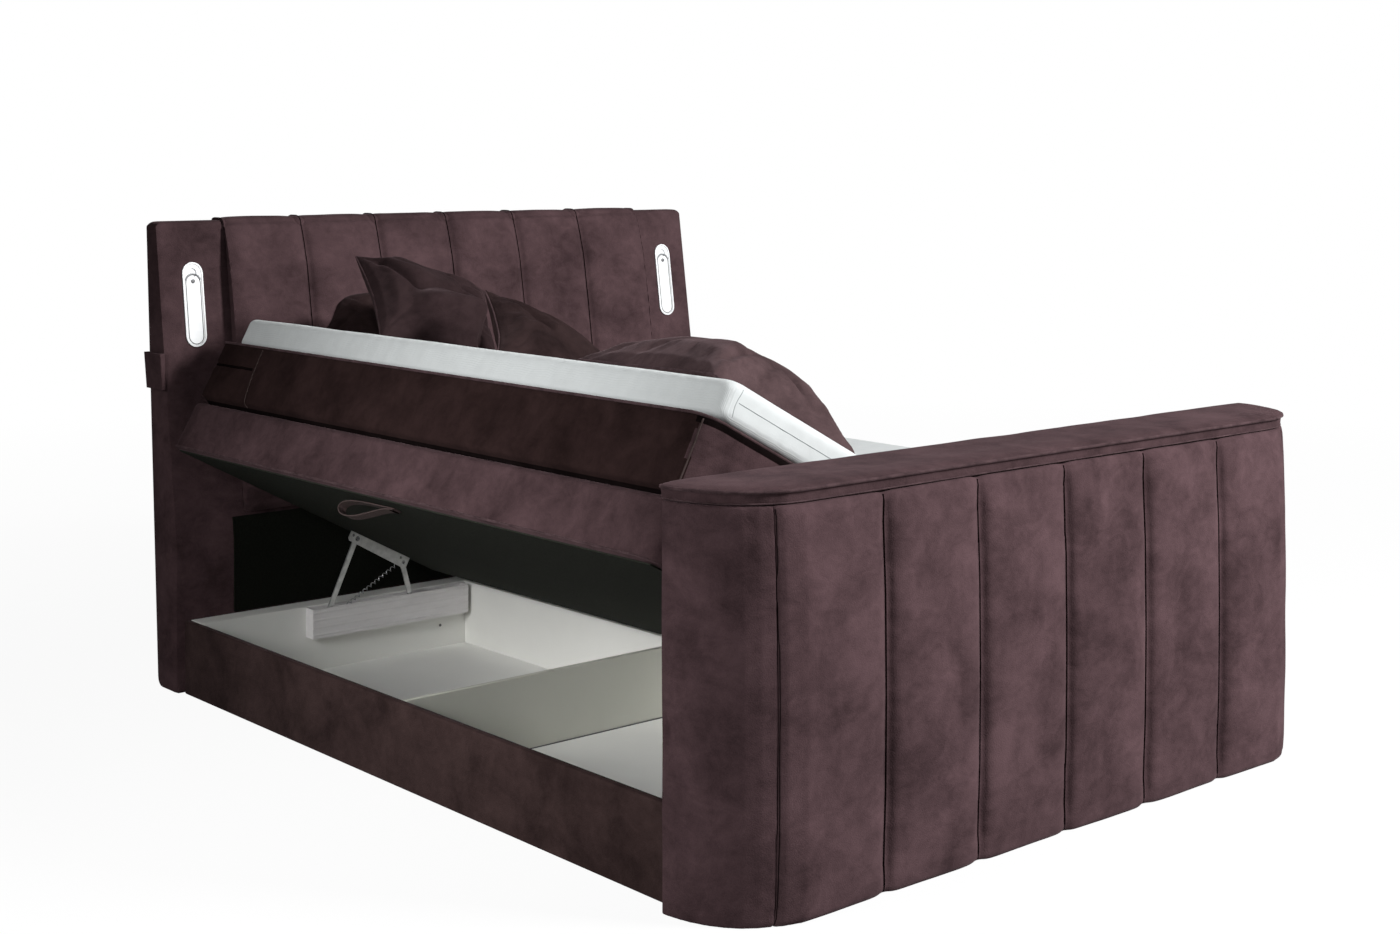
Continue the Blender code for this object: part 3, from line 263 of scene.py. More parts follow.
def melt_hidden(piece: Thing, hidden: Callable[[Vector, Vector], bool]) -> None:
    """Melt the flat faces that nothing shows into one.

    Args:
        piece: The piece.
        hidden: Test of a face's middle and normal.
    """
    with editing(piece):
        bpy.ops.mesh.select_mode(type=Part.FACES.value)
        bpy.ops.mesh.select_all(action="DESELECT")
    for face in piece.data.polygons:
        face.select = bool(hidden(face.center, face.normal))
    if sum(face.select for face in piece.data.polygons) > 1:
        with editing(piece):
            bpy.ops.mesh.dissolve_faces()


def swollen(piece: Thing, cap: float, pressure: float = 4.0,
            share: Callable[[Vector], float] = lambda place: 1.0) -> Thing:
    """Blow a closed skin up with cloth simulation, no point moving further than a cap.

    Args:
        piece: The closed, evenly meshed piece.
        cap: The furthest that a point may move.
        pressure: Pressure inside.
        share: How much of the swelling a point keeps, such as less at a sewn rim.

    Returns:
        The same piece.
    """
    rest = [vertex.co.copy() for vertex in piece.data.vertices]
    only(piece)
    step = piece.modifiers.new("cloth", "CLOTH")
    step.settings.use_pressure = True
    step.settings.uniform_pressure_force = pressure
    step.settings.effector_weights.gravity = 0.0
    step.settings.quality = CLOTH_QUALITY
    step.settings.tension_stiffness = CLOTH_STIFFNESS
    step.settings.compression_stiffness = CLOTH_STIFFNESS
    step.settings.bending_stiffness = CLOTH_BENDING
    scene = bpy.context.scene
    for frame in range(1, CLOTH_FRAMES + 1):
        scene.frame_set(frame)
    bpy.ops.object.modifier_apply(modifier=step.name)
    scene.frame_set(1)
    for vertex, before in zip(piece.data.vertices, rest):
        travel = vertex.co - before
        if travel.length > cap:
            travel = travel.normalized() * cap
        vertex.co = before + travel * share(before)
    piece.data.update()
    return piece


def as_mesh(name: str, curve: bpy.types.Curve) -> Thing:
    """Turn a curve into a mesh object.

    Args:
        name: Name of the piece.
        curve: The curve.

    Returns:
        The new object.
    """
    piece = bpy.data.objects.new(name, curve)
    bpy.context.scene.collection.objects.link(piece)
    only(piece)
    bpy.ops.object.convert(target="MESH")
    return bpy.context.active_object


def tube_along(name: str, points: list[Vector], radius: float, closed: bool = False,
               steps: int = 2) -> Thing:
    """A round tube that follows points, such as a piping.

    Args:
        name: Name of the piece.
        points: The path.
        radius: Radius of the tube.
        closed: Whether its ends join.
        steps: Roundness of the tube.

    Returns:
        The tube as a mesh.
    """
    curve = bpy.data.curves.new(name, "CURVE")
    curve.dimensions = "3D"
    curve.bevel_depth = radius
    curve.bevel_resolution = steps
    curve.use_fill_caps = True
    line = curve.splines.new("POLY")
    line.points.add(len(points) - 1)
    for target, point in zip(line.points, points):
        target.co = (*point, 1.0)
    line.use_cyclic_u = closed
    piece = as_mesh(name, curve)
    with editing(piece, whole=True):
        bpy.ops.mesh.remove_doubles(threshold=MERGE)
        bpy.ops.mesh.normals_make_consistent(inside=False)
    return piece


def ribbon_along(name: str, path: list[tuple[float, float]], across: float, width: float,
                 thickness: float) -> Thing:
    """A flat strap that follows a path drawn in the upright plane along the bed.

    Args:
        name: Name of the piece.
        path: The path as (Y, Z) points.
        across: X of the strap's middle.
        width: Width of the strap.
        thickness: Thickness of the strap.

    Returns:
        The strap as a mesh.
    """
    curve = bpy.data.curves.new(name, "CURVE")
    curve.dimensions = "2D"
    curve.fill_mode = "NONE"
    curve.extrude = width / 2
    line = curve.splines.new("NURBS")
    line.points.add(len(path) - 1)
    for target, (along, up) in zip(line.points, path):
        target.co = (along, up, 0.0, 1.0)
    line.use_endpoint_u = True
    line.order_u = 4
    line.resolution_u = 5
    piece = as_mesh(name, curve)
    upright = Matrix(((0.0, 0.0, 1.0, across), (1.0, 0.0, 0.0, 0.0), (0.0, 1.0, 0.0, 0.0), (0.0, 0.0, 0.0, 1.0)))
    piece.data.transform(upright)
    apply_modifier(piece, "SOLIDIFY", thickness=thickness, offset=0.0)
    with editing(piece, whole=True):
        bpy.ops.mesh.normals_make_consistent(inside=False)
    return piece


def ring_around(source: Thing, name: str, place: Vector, toward: Vector,
                radius: float, lift: float = 0.0) -> Thing:
    """A tube along the line where a plane cuts a piece, such as the piping round a cushion.

    Args:
        source: The piece that is cut; it stays as it is.
        name: Name of the tube.
        place: A point of the plane.
        toward: Normal of the plane.
        radius: Radius of the tube.
        lift: How far the line is pushed out of the piece.

    Returns:
        The tube as a mesh.
    """
    line = bpy.data.objects.new(name, source.data.copy())
    bpy.context.scene.collection.objects.link(line)
    if lift:
        moved(line, lambda point, normal: normal * lift)
    with editing(line):
        bpy.ops.mesh.select_mode(type=Part.POINTS.value)
        bpy.ops.mesh.select_all(action="SELECT")
        bpy.ops.mesh.bisect(plane_co=place, plane_no=toward, clear_inner=True, clear_outer=True)
        bpy.ops.mesh.select_all(action="SELECT")
        bpy.ops.mesh.remove_doubles(threshold=radius / 4)
    line.data.materials.clear()
    only(line)
    bpy.ops.object.convert(target="CURVE")
    line = bpy.context.active_object
    curve = line.data
    longest = max(curve.splines, key=lambda spline: len(spline.points))
    for spline in list(curve.splines):
        if spline != longest:
            curve.splines.remove(spline)
    points = [Vector(point.co[:3]) for point in longest.points]
    bpy.data.objects.remove(line)
    return tube_along(name, evened(points, radius), radius, True)


def evened(points: list[Vector], pitch: float) -> list[Vector]:
    """Smooth a closed line a little and drop points that crowd.

    Args:
        points: The line.
        pitch: Least distance between the points that stay.

    Returns:
        The evened line.
    """
    for _ in range(LINE_PASSES):
        points = [(before + 2 * here + after) / 4
                  for before, here, after in zip(points[-1:] + points[:-1], points, points[1:] + points[:1])]
    kept = [points[0]]
    for point in points[1:]:
        if (point - kept[-1]).length > pitch:
            kept.append(point)
    return kept


def laid_on(source: Thing, starts: list[Vector], toward: Vector, lift: float = 0.0) -> list[Vector]:
    """Where rays from some points first meet a piece.

    Args:
        source: The piece.
        starts: Where the rays start.
        toward: Their direction.
        lift: How far before the piece each point stays.

    Returns:
        The points that met it.
    """
    toward = Vector(toward).normalized()
    found = []
    for start in starts:
        hit, place, _, _ = source.ray_cast(start, toward)
        if hit:
            found.append(place - toward * lift)
    return found


def joined(name: str, pieces: list[Thing]) -> Thing:
    """Join pieces into one object.

    Args:
        name: Name of the result.
        pieces: The pieces.

    Returns:
        The joined object.
    """
    bpy.ops.object.select_all(action="DESELECT")
    for piece in pieces:
        piece.select_set(True)
    bpy.context.view_layer.objects.active = pieces[0]
    if len(pieces) > 1:
        bpy.ops.object.join()
    pieces[0].name = name
    return pieces[0]


def rounded_loop(low: Vector, high: Vector, height: float, radii: tuple[float, ...],
                 steps: int = 6, pitch: float = 0.03) -> list[Vector]:
    """Points round a rectangle with rounded corners, from the left foot corner on.

    Args:
        low: Corner with the least X and Y.
        high: Corner with the most X and Y.
        height: Height of the loop.
        radii: Radii of the left foot, right foot, right head and left head corners.
        steps: Steps round each corner.
        pitch: Greatest distance between points along the sides.

    Returns:
        The points.
    """
    corners = ((low.x, low.y, 1, 1, 180.0), (high.x, low.y, -1, 1, 270.0),
               (high.x, high.y, -1, -1, 0.0), (low.x, high.y, 1, -1, 90.0))
    loop = []
    for (x, y, along, up, start), radius in zip(corners, radii):
        for step in range(steps + 1):
            angle = math.radians(start + 90.0 * step / steps)
            loop.append(Vector((x + along * radius + radius * math.cos(angle),
                                y + up * radius + radius * math.sin(angle), height)))
    dense = []
    for start, end in zip(loop, loop[1:] + loop[:1]):
        pieces = max(1, math.ceil((end - start).length / pitch))
        dense += [start.lerp(end, index / pieces) for index in range(pieces)]
    return dense


def ripple(place: Vector, grain: Point, seed: float) -> float:
    """Smooth noise from about -1 to 1, stretched by a grain.

    Args:
        place: Where it is read.
        grain: Length of a ripple along each axis.
        seed: Moves the pattern.

    Returns:
        The value.
    """
    point = Vector((place.x / grain[0], place.y / grain[1], place.z / grain[2]))
    return noise.noise(point + Vector((seed, 2.3 * seed, 5.1 * seed)))


def gathered(place: Vector, near: float, fine: Point, broad: Point, seed: float) -> float:
    """Ripples of padding that is sewn down in channels: fine at the seams, broad between them.

    Args:
        place: Where it is read.
        near: Distance to the nearest seam.
        fine: Grain of the fine ripples.
        broad: Grain of the broad ones.
        seed: Moves the pattern.

    Returns:
        The value, 0 on the seam.
    """
    pull = math.exp(-near / PULL_REACH)
    still = 1.0 - math.exp(-(near / SEAM_REACH) ** 2)
    return still * (pull * ripple(place, fine, seed) + 0.6 * (1.0 - pull) * ripple(place, broad, seed + 2))


def covered(node: str, name: str, voxel: float, push: Callable[[Vector, Vector], Vector], passes: int = 2) -> Thing:
    """An evenly meshed copy of a CAD node with its points moved.

    Args:
        node: The CAD node.
        name: Name of the new piece.
        voxel: Size of its faces.
        push: Gives the offset of a point from its place and normal.
        passes: Smoothing passes before that.

    Returns:
        The piece.
    """
    return moved(remeshed(copy_of(node, name), voxel, passes), push)


# Finishes


def wired(tree: bpy.types.NodeTree, kind: str, output: str | int, inputs: dict[str | int, object],
          **settings: object) -> Socket:
    """A new node, set up and linked.

    Args:
        tree: The node tree.
        kind: The node's type, without ShaderNode before it.
        output: Which output is wanted.
        inputs: Values for its inputs, or sockets to link there.
        **settings: Its properties.

    Returns:
        The output socket.
    """
    node = tree.nodes.new(f"ShaderNode{kind}")
    for name, value in settings.items():
        setattr(node, name, value)
    for name, value in inputs.items():
        if isinstance(value, Socket):
            tree.links.new(value, node.inputs[name])
        else:
            node.inputs[name].default_value = value
    return node.outputs[output]


class Recipe:
    """Builds a material's nodes, all on Object coordinates."""

    def __init__(self, name: str, colour: Colour, roughness: float, metallic: float) -> None:
        """Start a material with its plain values on the shader.

        Args:
            name: Name of the material.
            colour: Base colour, linear.
            roughness: Roughness.
            metallic: Metallic share.
        """
        self.material = bpy.data.materials.new(name)
        self.material.use_nodes = True
        self.material.diffuse_color = (*colour, 1.0)
        self.tree = self.material.node_tree
        self.shader = self.tree.nodes["Principled BSDF"]
        self.set("Base Color", (*colour, 1.0))
        self.set("Roughness", roughness)
        self.set("Metallic", metallic)
        self.place = wired(self.tree, "TexCoord", "Object", {})

    def set(self, socket: str, value: object) -> None:
        """Write a constant on the shader's own socket."""
        self.shader.inputs[socket].default_value = value

    def feed(self, socket: str, source: Socket) -> None:
        """Link a source to the shader's own socket."""
        self.tree.links.new(source, self.shader.inputs[socket])

    def speckle(self, scale: float, detail: float = 2.0, grain: Point | None = None,
                turn: Point = (0.0, 0.0, 0.0), harsh: float = 0.5, warp: float = 0.0) -> Socket:
        """Noise, stretched where a grain is given.

        Args:
            scale: Scale of the noise.
            detail: Its detail.
            grain: Scale along each axis.
            turn: Turn of the grain in degrees.
            harsh: How strong its finer layers are.
            warp: How far the pattern is drawn about.

        Returns:
            The factor socket.
        """
        source = self.place
        if grain:
            angles = [math.radians(angle) for angle in turn]
            source = wired(self.tree, "Mapping", "Vector", {"Scale": grain, "Rotation": angles, "Vector": source})
        return wired(self.tree, "TexNoise", "Fac", {"Scale": scale, "Detail": detail, "Roughness": harsh,
                                                    "Distortion": warp, "Vector": source})

    def ridges(self, scale: float, direction: str, distortion: float = 0.0) -> Socket:
        """Parallel ridges.

        Args:
            scale: Scale of the wave.
            direction: Axis across the ridges.
            distortion: How much they wander.

        Returns:
            The factor socket.
        """
        return wired(self.tree, "TexWave", "Fac", {"Scale": scale, "Distortion": distortion, "Detail Scale": 2.0,
                                                   "Vector": self.place},
                     wave_type="BANDS", bands_direction=direction)

    def cells(self, scale: float) -> Socket:
        """Round cells, as the distance to their middles."""
        return wired(self.tree, "TexVoronoi", "Distance", {"Scale": scale, "Vector": self.place})

    def steepened(self, source: Socket, low: float, high: float, to_low: float = 0.0,
                  to_high: float = 1.0) -> Socket:
        """Map a stretch of a factor onto another.

        Args:
            source: The factor.
            low: Its value that becomes to_low.
            high: Its value that becomes to_high.
            to_low: Lower result.
            to_high: Upper result.

        Returns:
            The result socket.
        """
        return wired(self.tree, "MapRange", "Result", {"From Min": low, "From Max": high, "To Min": to_low,
                                                       "To Max": to_high, "Value": source})

    def summed(self, first: Socket, second: Socket, share: float) -> Socket:
        """The first factor plus a share of the second."""
        return wired(self.tree, "Math", "Value", {0: second, 1: share, 2: first}, operation="MULTIPLY_ADD")

    def embossed(self, height: Socket, distance: float, strength: float = 1.0) -> None:
        """Bump the shader.

        Args:
            height: The height factor.
            distance: Height of the relief.
            strength: Share of it that shows.
        """
        self.feed("Normal", wired(self.tree, "Bump", "Normal", {"Strength": strength, "Distance": distance,
                                                                "Height": height}))


def toned(colour: Colour, share: float) -> Colour:
    """A colour made lighter or darker by a share."""
    return tuple(min(1.0, channel * share) for channel in colour)


@dataclass(frozen=True)
class Finish:
    """What all finishes have: a name, a slot of the record and plain shader values."""

    name: str
    slot: str
    colour: Colour
    roughness: float
    metallic: float = 0.0

    def detail(self, recipe: Recipe) -> None:
        """Add the finish's own texture; a finish overrides this."""

    def shade(self, recipe: Recipe, factor: Socket, low: float, high: float, dark: float, light: float) -> None:
        """Colour the shader between two tones of the finish.

        Args:
            recipe: The material's recipe.
            factor: The pattern.
            low: Its value for the dark tone.
            high: Its value for the light tone.
            dark: The dark tone, as a share of the colour.
            light: The light tone, as a share of the colour.
        """
        tones = [(*toned(self.colour, share), 1.0) for share in (dark, light)]
        recipe.feed("Base Color", wired(recipe.tree, "Mix", 2, {0: recipe.steepened(factor, low, high),
                                                                6: tones[0], 7: tones[1]}, data_type="RGBA"))

    def gloss(self, recipe: Recipe, factor: Socket, less: float, more: float) -> None:
        """Let the roughness vary with a pattern.

        Args:
            recipe: The material's recipe.
            factor: The pattern.
            less: How far the roughness falls.
            more: How far it rises.
        """
        recipe.feed("Roughness", recipe.steepened(factor, 0.2, 0.8, self.roughness - less, self.roughness + more))

    def material(self) -> bpy.types.Material:
        """The finish's material, made once.

        Returns:
            The material.
        """
        made = bpy.data.materials.get(self.name)
        if made is None:
            recipe = Recipe(self.name, self.colour, self.roughness, self.metallic)
            self.detail(recipe)
            made = recipe.material
        return made


@dataclass(frozen=True)
class Plush(Finish):
    """Short velvety pile, crushed into lighter and darker patches."""

    dark_share: float = 0.62
    light_share: float = 1.42
    patch_scale: float = 6.5
    wisp_scale: float = 26.0
    pile_scale: float = 420.0
    sheen: float = 0.10

    def detail(self, recipe: Recipe) -> None:
        """Patches of crushed pile over a fine grain, with a soft sheen."""
        patches = recipe.speckle(self.patch_scale, 9.0, harsh=0.62, warp=0.35)
        wisps = recipe.speckle(self.wisp_scale, 8.0, (0.8, 0.8, 1.15), (12.0, 8.0, 0.0), 0.70, 0.8)
        pile = recipe.speckle(self.pile_scale, 2.0)
        mixed = recipe.summed(recipe.summed(patches, wisps, 0.45), pile, 0.20)
        self.shade(recipe, mixed, 0.63, 1.02, self.dark_share, self.light_share)
        relief = recipe.summed(pile, recipe.cells(260.0), 0.5)
        recipe.embossed(relief, 0.0007, 0.8)
        recipe.set("Sheen Weight", self.sheen)
        recipe.set("Sheen Roughness", 0.38)
        recipe.set("Sheen Tint", (0.80, 0.60, 0.64, 1.0))
        recipe.set("Specular IOR Level", 0.0)


@dataclass(frozen=True)
class Knit(Finish):
    """Knitted ticking with a fine quilted grain."""

    def detail(self, recipe: Recipe) -> None:
        """Small stitches both ways over slight shading."""
        across = recipe.ridges(120.0, "X", 0.6)
        along = recipe.ridges(150.0, "Y", 0.6)
        stitches = recipe.summed(across, along, 0.9)
        soft = recipe.speckle(22.0, 3.0)
        self.shade(recipe, soft, 0.3, 0.7, 0.96, 1.03)
        recipe.embossed(recipe.summed(stitches, soft, 0.8), 0.0005, 0.6)
        recipe.set("Sheen Weight", 0.15)
        recipe.set("Specular IOR Level", 0.2)


@dataclass(frozen=True)
class Fleece(Finish):
    """Thin pressed fleece with a fibrous grain."""

    def detail(self, recipe: Recipe) -> None:
        """Fibres and pressed dimples."""
        fibres = recipe.speckle(180.0, 5.0)
        dimples = recipe.cells(240.0)
        self.shade(recipe, recipe.summed(fibres, dimples, 0.4), 0.35, 1.0, 0.7, 1.7)
        recipe.embossed(recipe.summed(fibres, dimples, 0.6), 0.0006, 0.7)
        recipe.set("Specular IOR Level", 0.05)


@dataclass(frozen=True)
class Webbing(Finish):
    """Woven strap webbing."""

    def detail(self, recipe: Recipe) -> None:
        """Ribs along the strap under a finer weave."""
        ribs = recipe.ridges(150.0, "X")
        weft = recipe.ridges(260.0, "Y")
        self.shade(recipe, recipe.summed(ribs, weft, 0.6), 0.2, 1.4, 0.7, 1.35)
        recipe.embossed(recipe.summed(ribs, weft, 0.8), 0.0005, 0.8)


@dataclass(frozen=True)
class Board(Finish):
    """Melamine-faced board, satin, with a faint print of its core."""

    def detail(self, recipe: Recipe) -> None:
        """Faint clouding and a fine eggshell relief."""
        clouds = recipe.speckle(5.0, 4.0)
        shell = recipe.speckle(420.0, 2.0)
        self.shade(recipe, clouds, 0.25, 0.75, 0.955, 1.02)
        self.gloss(recipe, clouds, 0.08, 0.08)
        recipe.embossed(shell, 0.00025, 0.5)


@dataclass(frozen=True)
class Moulding(Finish):
    """Moulded plastic with a slight texture."""

    def detail(self, recipe: Recipe) -> None:
        """Fine spark-eroded grain and faint flow marks."""
        grain = recipe.speckle(650.0, 2.0)
        flow = recipe.speckle(14.0, 3.0, (1.0, 1.0, 4.0))
        self.shade(recipe, flow, 0.3, 0.7, 0.95, 1.03)
        self.gloss(recipe, grain, 0.05, 0.06)
        recipe.embossed(grain, 0.0002, 0.5)


@dataclass(frozen=True)
class Plated(Finish):
    """Zinc-plated or drawn steel."""

    brush: Point = (1.0, 1.0, 1.0)

    def detail(self, recipe: Recipe) -> None:
        """Cloudy plating with fine marks along the brush."""
        clouds = recipe.speckle(60.0, 4.0)
        marks = recipe.speckle(300.0, 3.0, self.brush)
        self.shade(recipe, recipe.summed(clouds, marks, 0.5), 0.5, 1.0, 0.8, 1.2)
        self.gloss(recipe, marks, 0.1, 0.12)
        recipe.embossed(marks, 0.0001, 0.5)


@dataclass(frozen=True)
class Enamel(Finish):
    """Sprayed enamel with an orange-peel skin."""

    def detail(self, recipe: Recipe) -> None:
        """Orange peel, and slight changes of gloss."""
        peel = recipe.speckle(260.0, 2.0)
        self.shade(recipe, recipe.speckle(9.0, 3.0), 0.3, 0.7, 0.9, 1.15)
        self.gloss(recipe, peel, 0.06, 0.06)
        recipe.embossed(peel, 0.0002, 0.5)


PLUM = Plush("plum_velvet", "plum_fabric", (0.070, 0.042, 0.046), 0.85)
# Painted shade: a darker copy of plum_velvet for the headboard, spring box border, lid and pocket, where the light is
# weaker; on the mattress's foot faces it is the lighter tone.
PLUM_DIMMED = Plush("plum_velvet_headboard", "plum_fabric", (0.060, 0.036, 0.039), 0.85)
# Painted shade: a much darker copy of plum_velvet for the side rails, which face away from the key light.
PLUM_RAIL_SHADED = Plush("plum_velvet_rail", "plum_fabric", (0.037, 0.023, 0.022), 0.85)
# Painted shade: a much darker copy of plum_velvet for the mattress border.
PLUM_SHADED = Plush("plum_velvet_brushed_down", "plum_fabric", (0.022, 0.0125, 0.012), 0.90, sheen=0.04)
PLUM_PIPING = Plush("plum_piping", "plum_fabric", (0.062, 0.039, 0.042), 0.85, patch_scale=30.0)
TICKING_SEAM = Moulding("ticking_seam", "topper_fabric", (0.34, 0.36, 0.37), 0.80)
PLUM_CUSHION = Plush("plum_cushion_velvet", "plum_cushion_fabric", (0.029, 0.018, 0.019), 0.85)
# Painted light: a lighter copy of the cushion velvet for the large cushion.
PLUM_CUSHION_LIT = Plush("plum_cushion_velvet_brushed_up", "plum_cushion_fabric", (0.066, 0.042, 0.044), 0.85)
PLUM_CUSHION_SHADED = Plush("plum_cushion_velvet_shaded", "plum_cushion_fabric", (0.026, 0.016, 0.016), 0.88,
                            sheen=0.05)
# Near-black thread for seams, slit and strap tack, also used as painted shade: in the channel grooves, on the
# mattress rims under the topper and along its bottom, and under the rails' folded inner edges.
SEAM_AND_SHADE = Plush("dark_seam_thread", "plum_fabric", (0.006, 0.004, 0.004), 0.95, sheen=0.0)
# A paler thread than the painted-shade mattress border, for its upright seams.
SEAM_PALE = Plush("worn_seam_thread", "plum_fabric", (0.058, 0.042, 0.040), 0.90, sheen=0.0)
CHROME = Plated("chromed_rim", "zinc_steel", (0.62, 0.63, 0.65), 0.18, 1.0)
TICKING = Knit("topper_ticking", "topper_fabric", (0.65, 0.68, 0.68), 0.90)
# Painted shade: a darker copy of the black fleece for the headboard lining, darker than the underside fleece.
FLEECE_SHADED = Fleece("black_fleece", "lining_fleece", (0.0055, 0.006, 0.0045), 0.95)
FLEECE_UNDER = Fleece("black_fleece_underside", "lining_fleece", (0.017, 0.018, 0.0145), 0.95)
STRAP = Webbing("brown_webbing", "strap_webbing", (0.050, 0.028, 0.026), 0.80)
WHITE_BOARD = Board("white_board_face", "white_board", (0.82, 0.82, 0.785), 0.55)
# Painted light: a lighter copy of the white board for the storage floors; painted shade: a darker, greyer copy for
# the dividers.
FLOOR_BOARD_LIT = Board("white_floor_board_face", "white_board", (0.92, 0.92, 0.89), 0.50)
DIVIDER_BOARD_SHADED = Board("grey_white_board_face", "white_board", (0.66, 0.66, 0.59), 0.55)
CHANNEL = Moulding("white_channel_plastic", "channel_plastic", (0.78, 0.76, 0.76), 0.45)
ZINC = Plated("zinc_plating", "zinc_steel", (0.58, 0.58, 0.58), 0.36, 0.9, brush=(4.0, 1.0, 1.0))
SPRING = Plated("drawn_wire", "spring_steel", (0.35, 0.36, 0.37), 0.35, 1.0)
LAMP = Moulding("white_lamp_plastic", "lamp_plastic", (0.80, 0.81, 0.82), 0.30)
LIFT = Enamel("black_lift_enamel", "lift_enamel", (0.040, 0.041, 0.043), 0.50, 0.2)
SWITCH = Moulding("grey_switch", "lamp_plastic", (0.10, 0.10, 0.105), 0.45)
# Painted shade: grey lamp plastic for the shade in each lamp's scoop.
LAMP_SCOOP_SHADE = Moulding("shaded_lamp_plastic", "lamp_plastic", (0.30, 0.31, 0.32), 0.50)


def dress(node: str, finish: Finish) -> None:
    """Give a CAD node that stays its finish.

    Args:
        node: The node.
        finish: The finish.
    """
    mesh = FRAME["nodes"][node].data
    if mesh.materials:
        mesh.materials[0] = finish.material()
    else:
        mesh.materials.append(finish.material())


def finished(piece: Thing, finish: Finish, body: str, *nodes: str, sharp: float = 40.0, fill: float = 0.0) -> None:
    """Shade a piece, give it its finish, let it ride and hide the CAD nodes that it replaces.

    Args:
        piece: The piece.
        finish: Its finish.
        body: The CAD body that carries it.
        *nodes: The CAD nodes that it replaces.
        sharp: Edges turning by more than these degrees stay sharp.
        fill: How full a padded piece is; 0 for one that isn't padded. Not used.
    """
    only(piece)
    piece.data.materials.clear()
    piece.data.materials.append(finish.material())
    bpy.ops.object.shade_smooth_by_angle(angle=math.radians(sharp))
    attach(piece, body)
    if nodes:
        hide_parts(*nodes)
    LOG.info("%s: %d faces on %s", piece.name, len(piece.data.polygons), body)


def add_stud(name: str, centre: Vector, toward: Vector, radius: float, depth: float, body: str) -> None:
    """A small dark button or screw head with a soft edge.

    Args:
        name: Name of the piece.
        centre: Middle of its inner face.
        toward: Direction in which it stands out.
        radius: Its radius.
        depth: How far it stands out.
        body: The CAD body that carries it.
    """
    stud = disc_piece(name, centre, toward, radius, depth)
    apply_modifier(stud, "BEVEL", width=STUD_BEVEL, segments=2)
    finished(stud, SWITCH, body)


# Shared sizes, directions and tones of the working method
MERGE = 0.00002
LINE_PASSES = 3
SEAM_THREAD = 0.0014
PULL_REACH = 0.035
SEAM_REACH = 0.012
STUD_BEVEL = 0.0006
RAY_START = 0.05
TOWARD_HEAD = Vector((0.0, 1.0, 0.0))
TOWARD_MIDDLE = Vector((-1.0, 0.0, 0.0))
DOWN = Vector((0.0, 0.0, -1.0))
WHITE = (1.0, 1.0, 1.0, 1.0)
CLOTH_FRAMES = 20
CLOTH_QUALITY = 5
CLOTH_STIFFNESS = 15.0
CLOTH_BENDING = 0.5

# The CAD frame, in an emptied scene
for leftover in list(bpy.data.objects):
    bpy.data.objects.remove(leftover)
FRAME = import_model()
HINGE = Vector(next(joint["pos_m"] for joint in FRAME["joints"] if joint["name"] == "left_half_hinge"))
OPEN_TURN = math.radians(28.0)


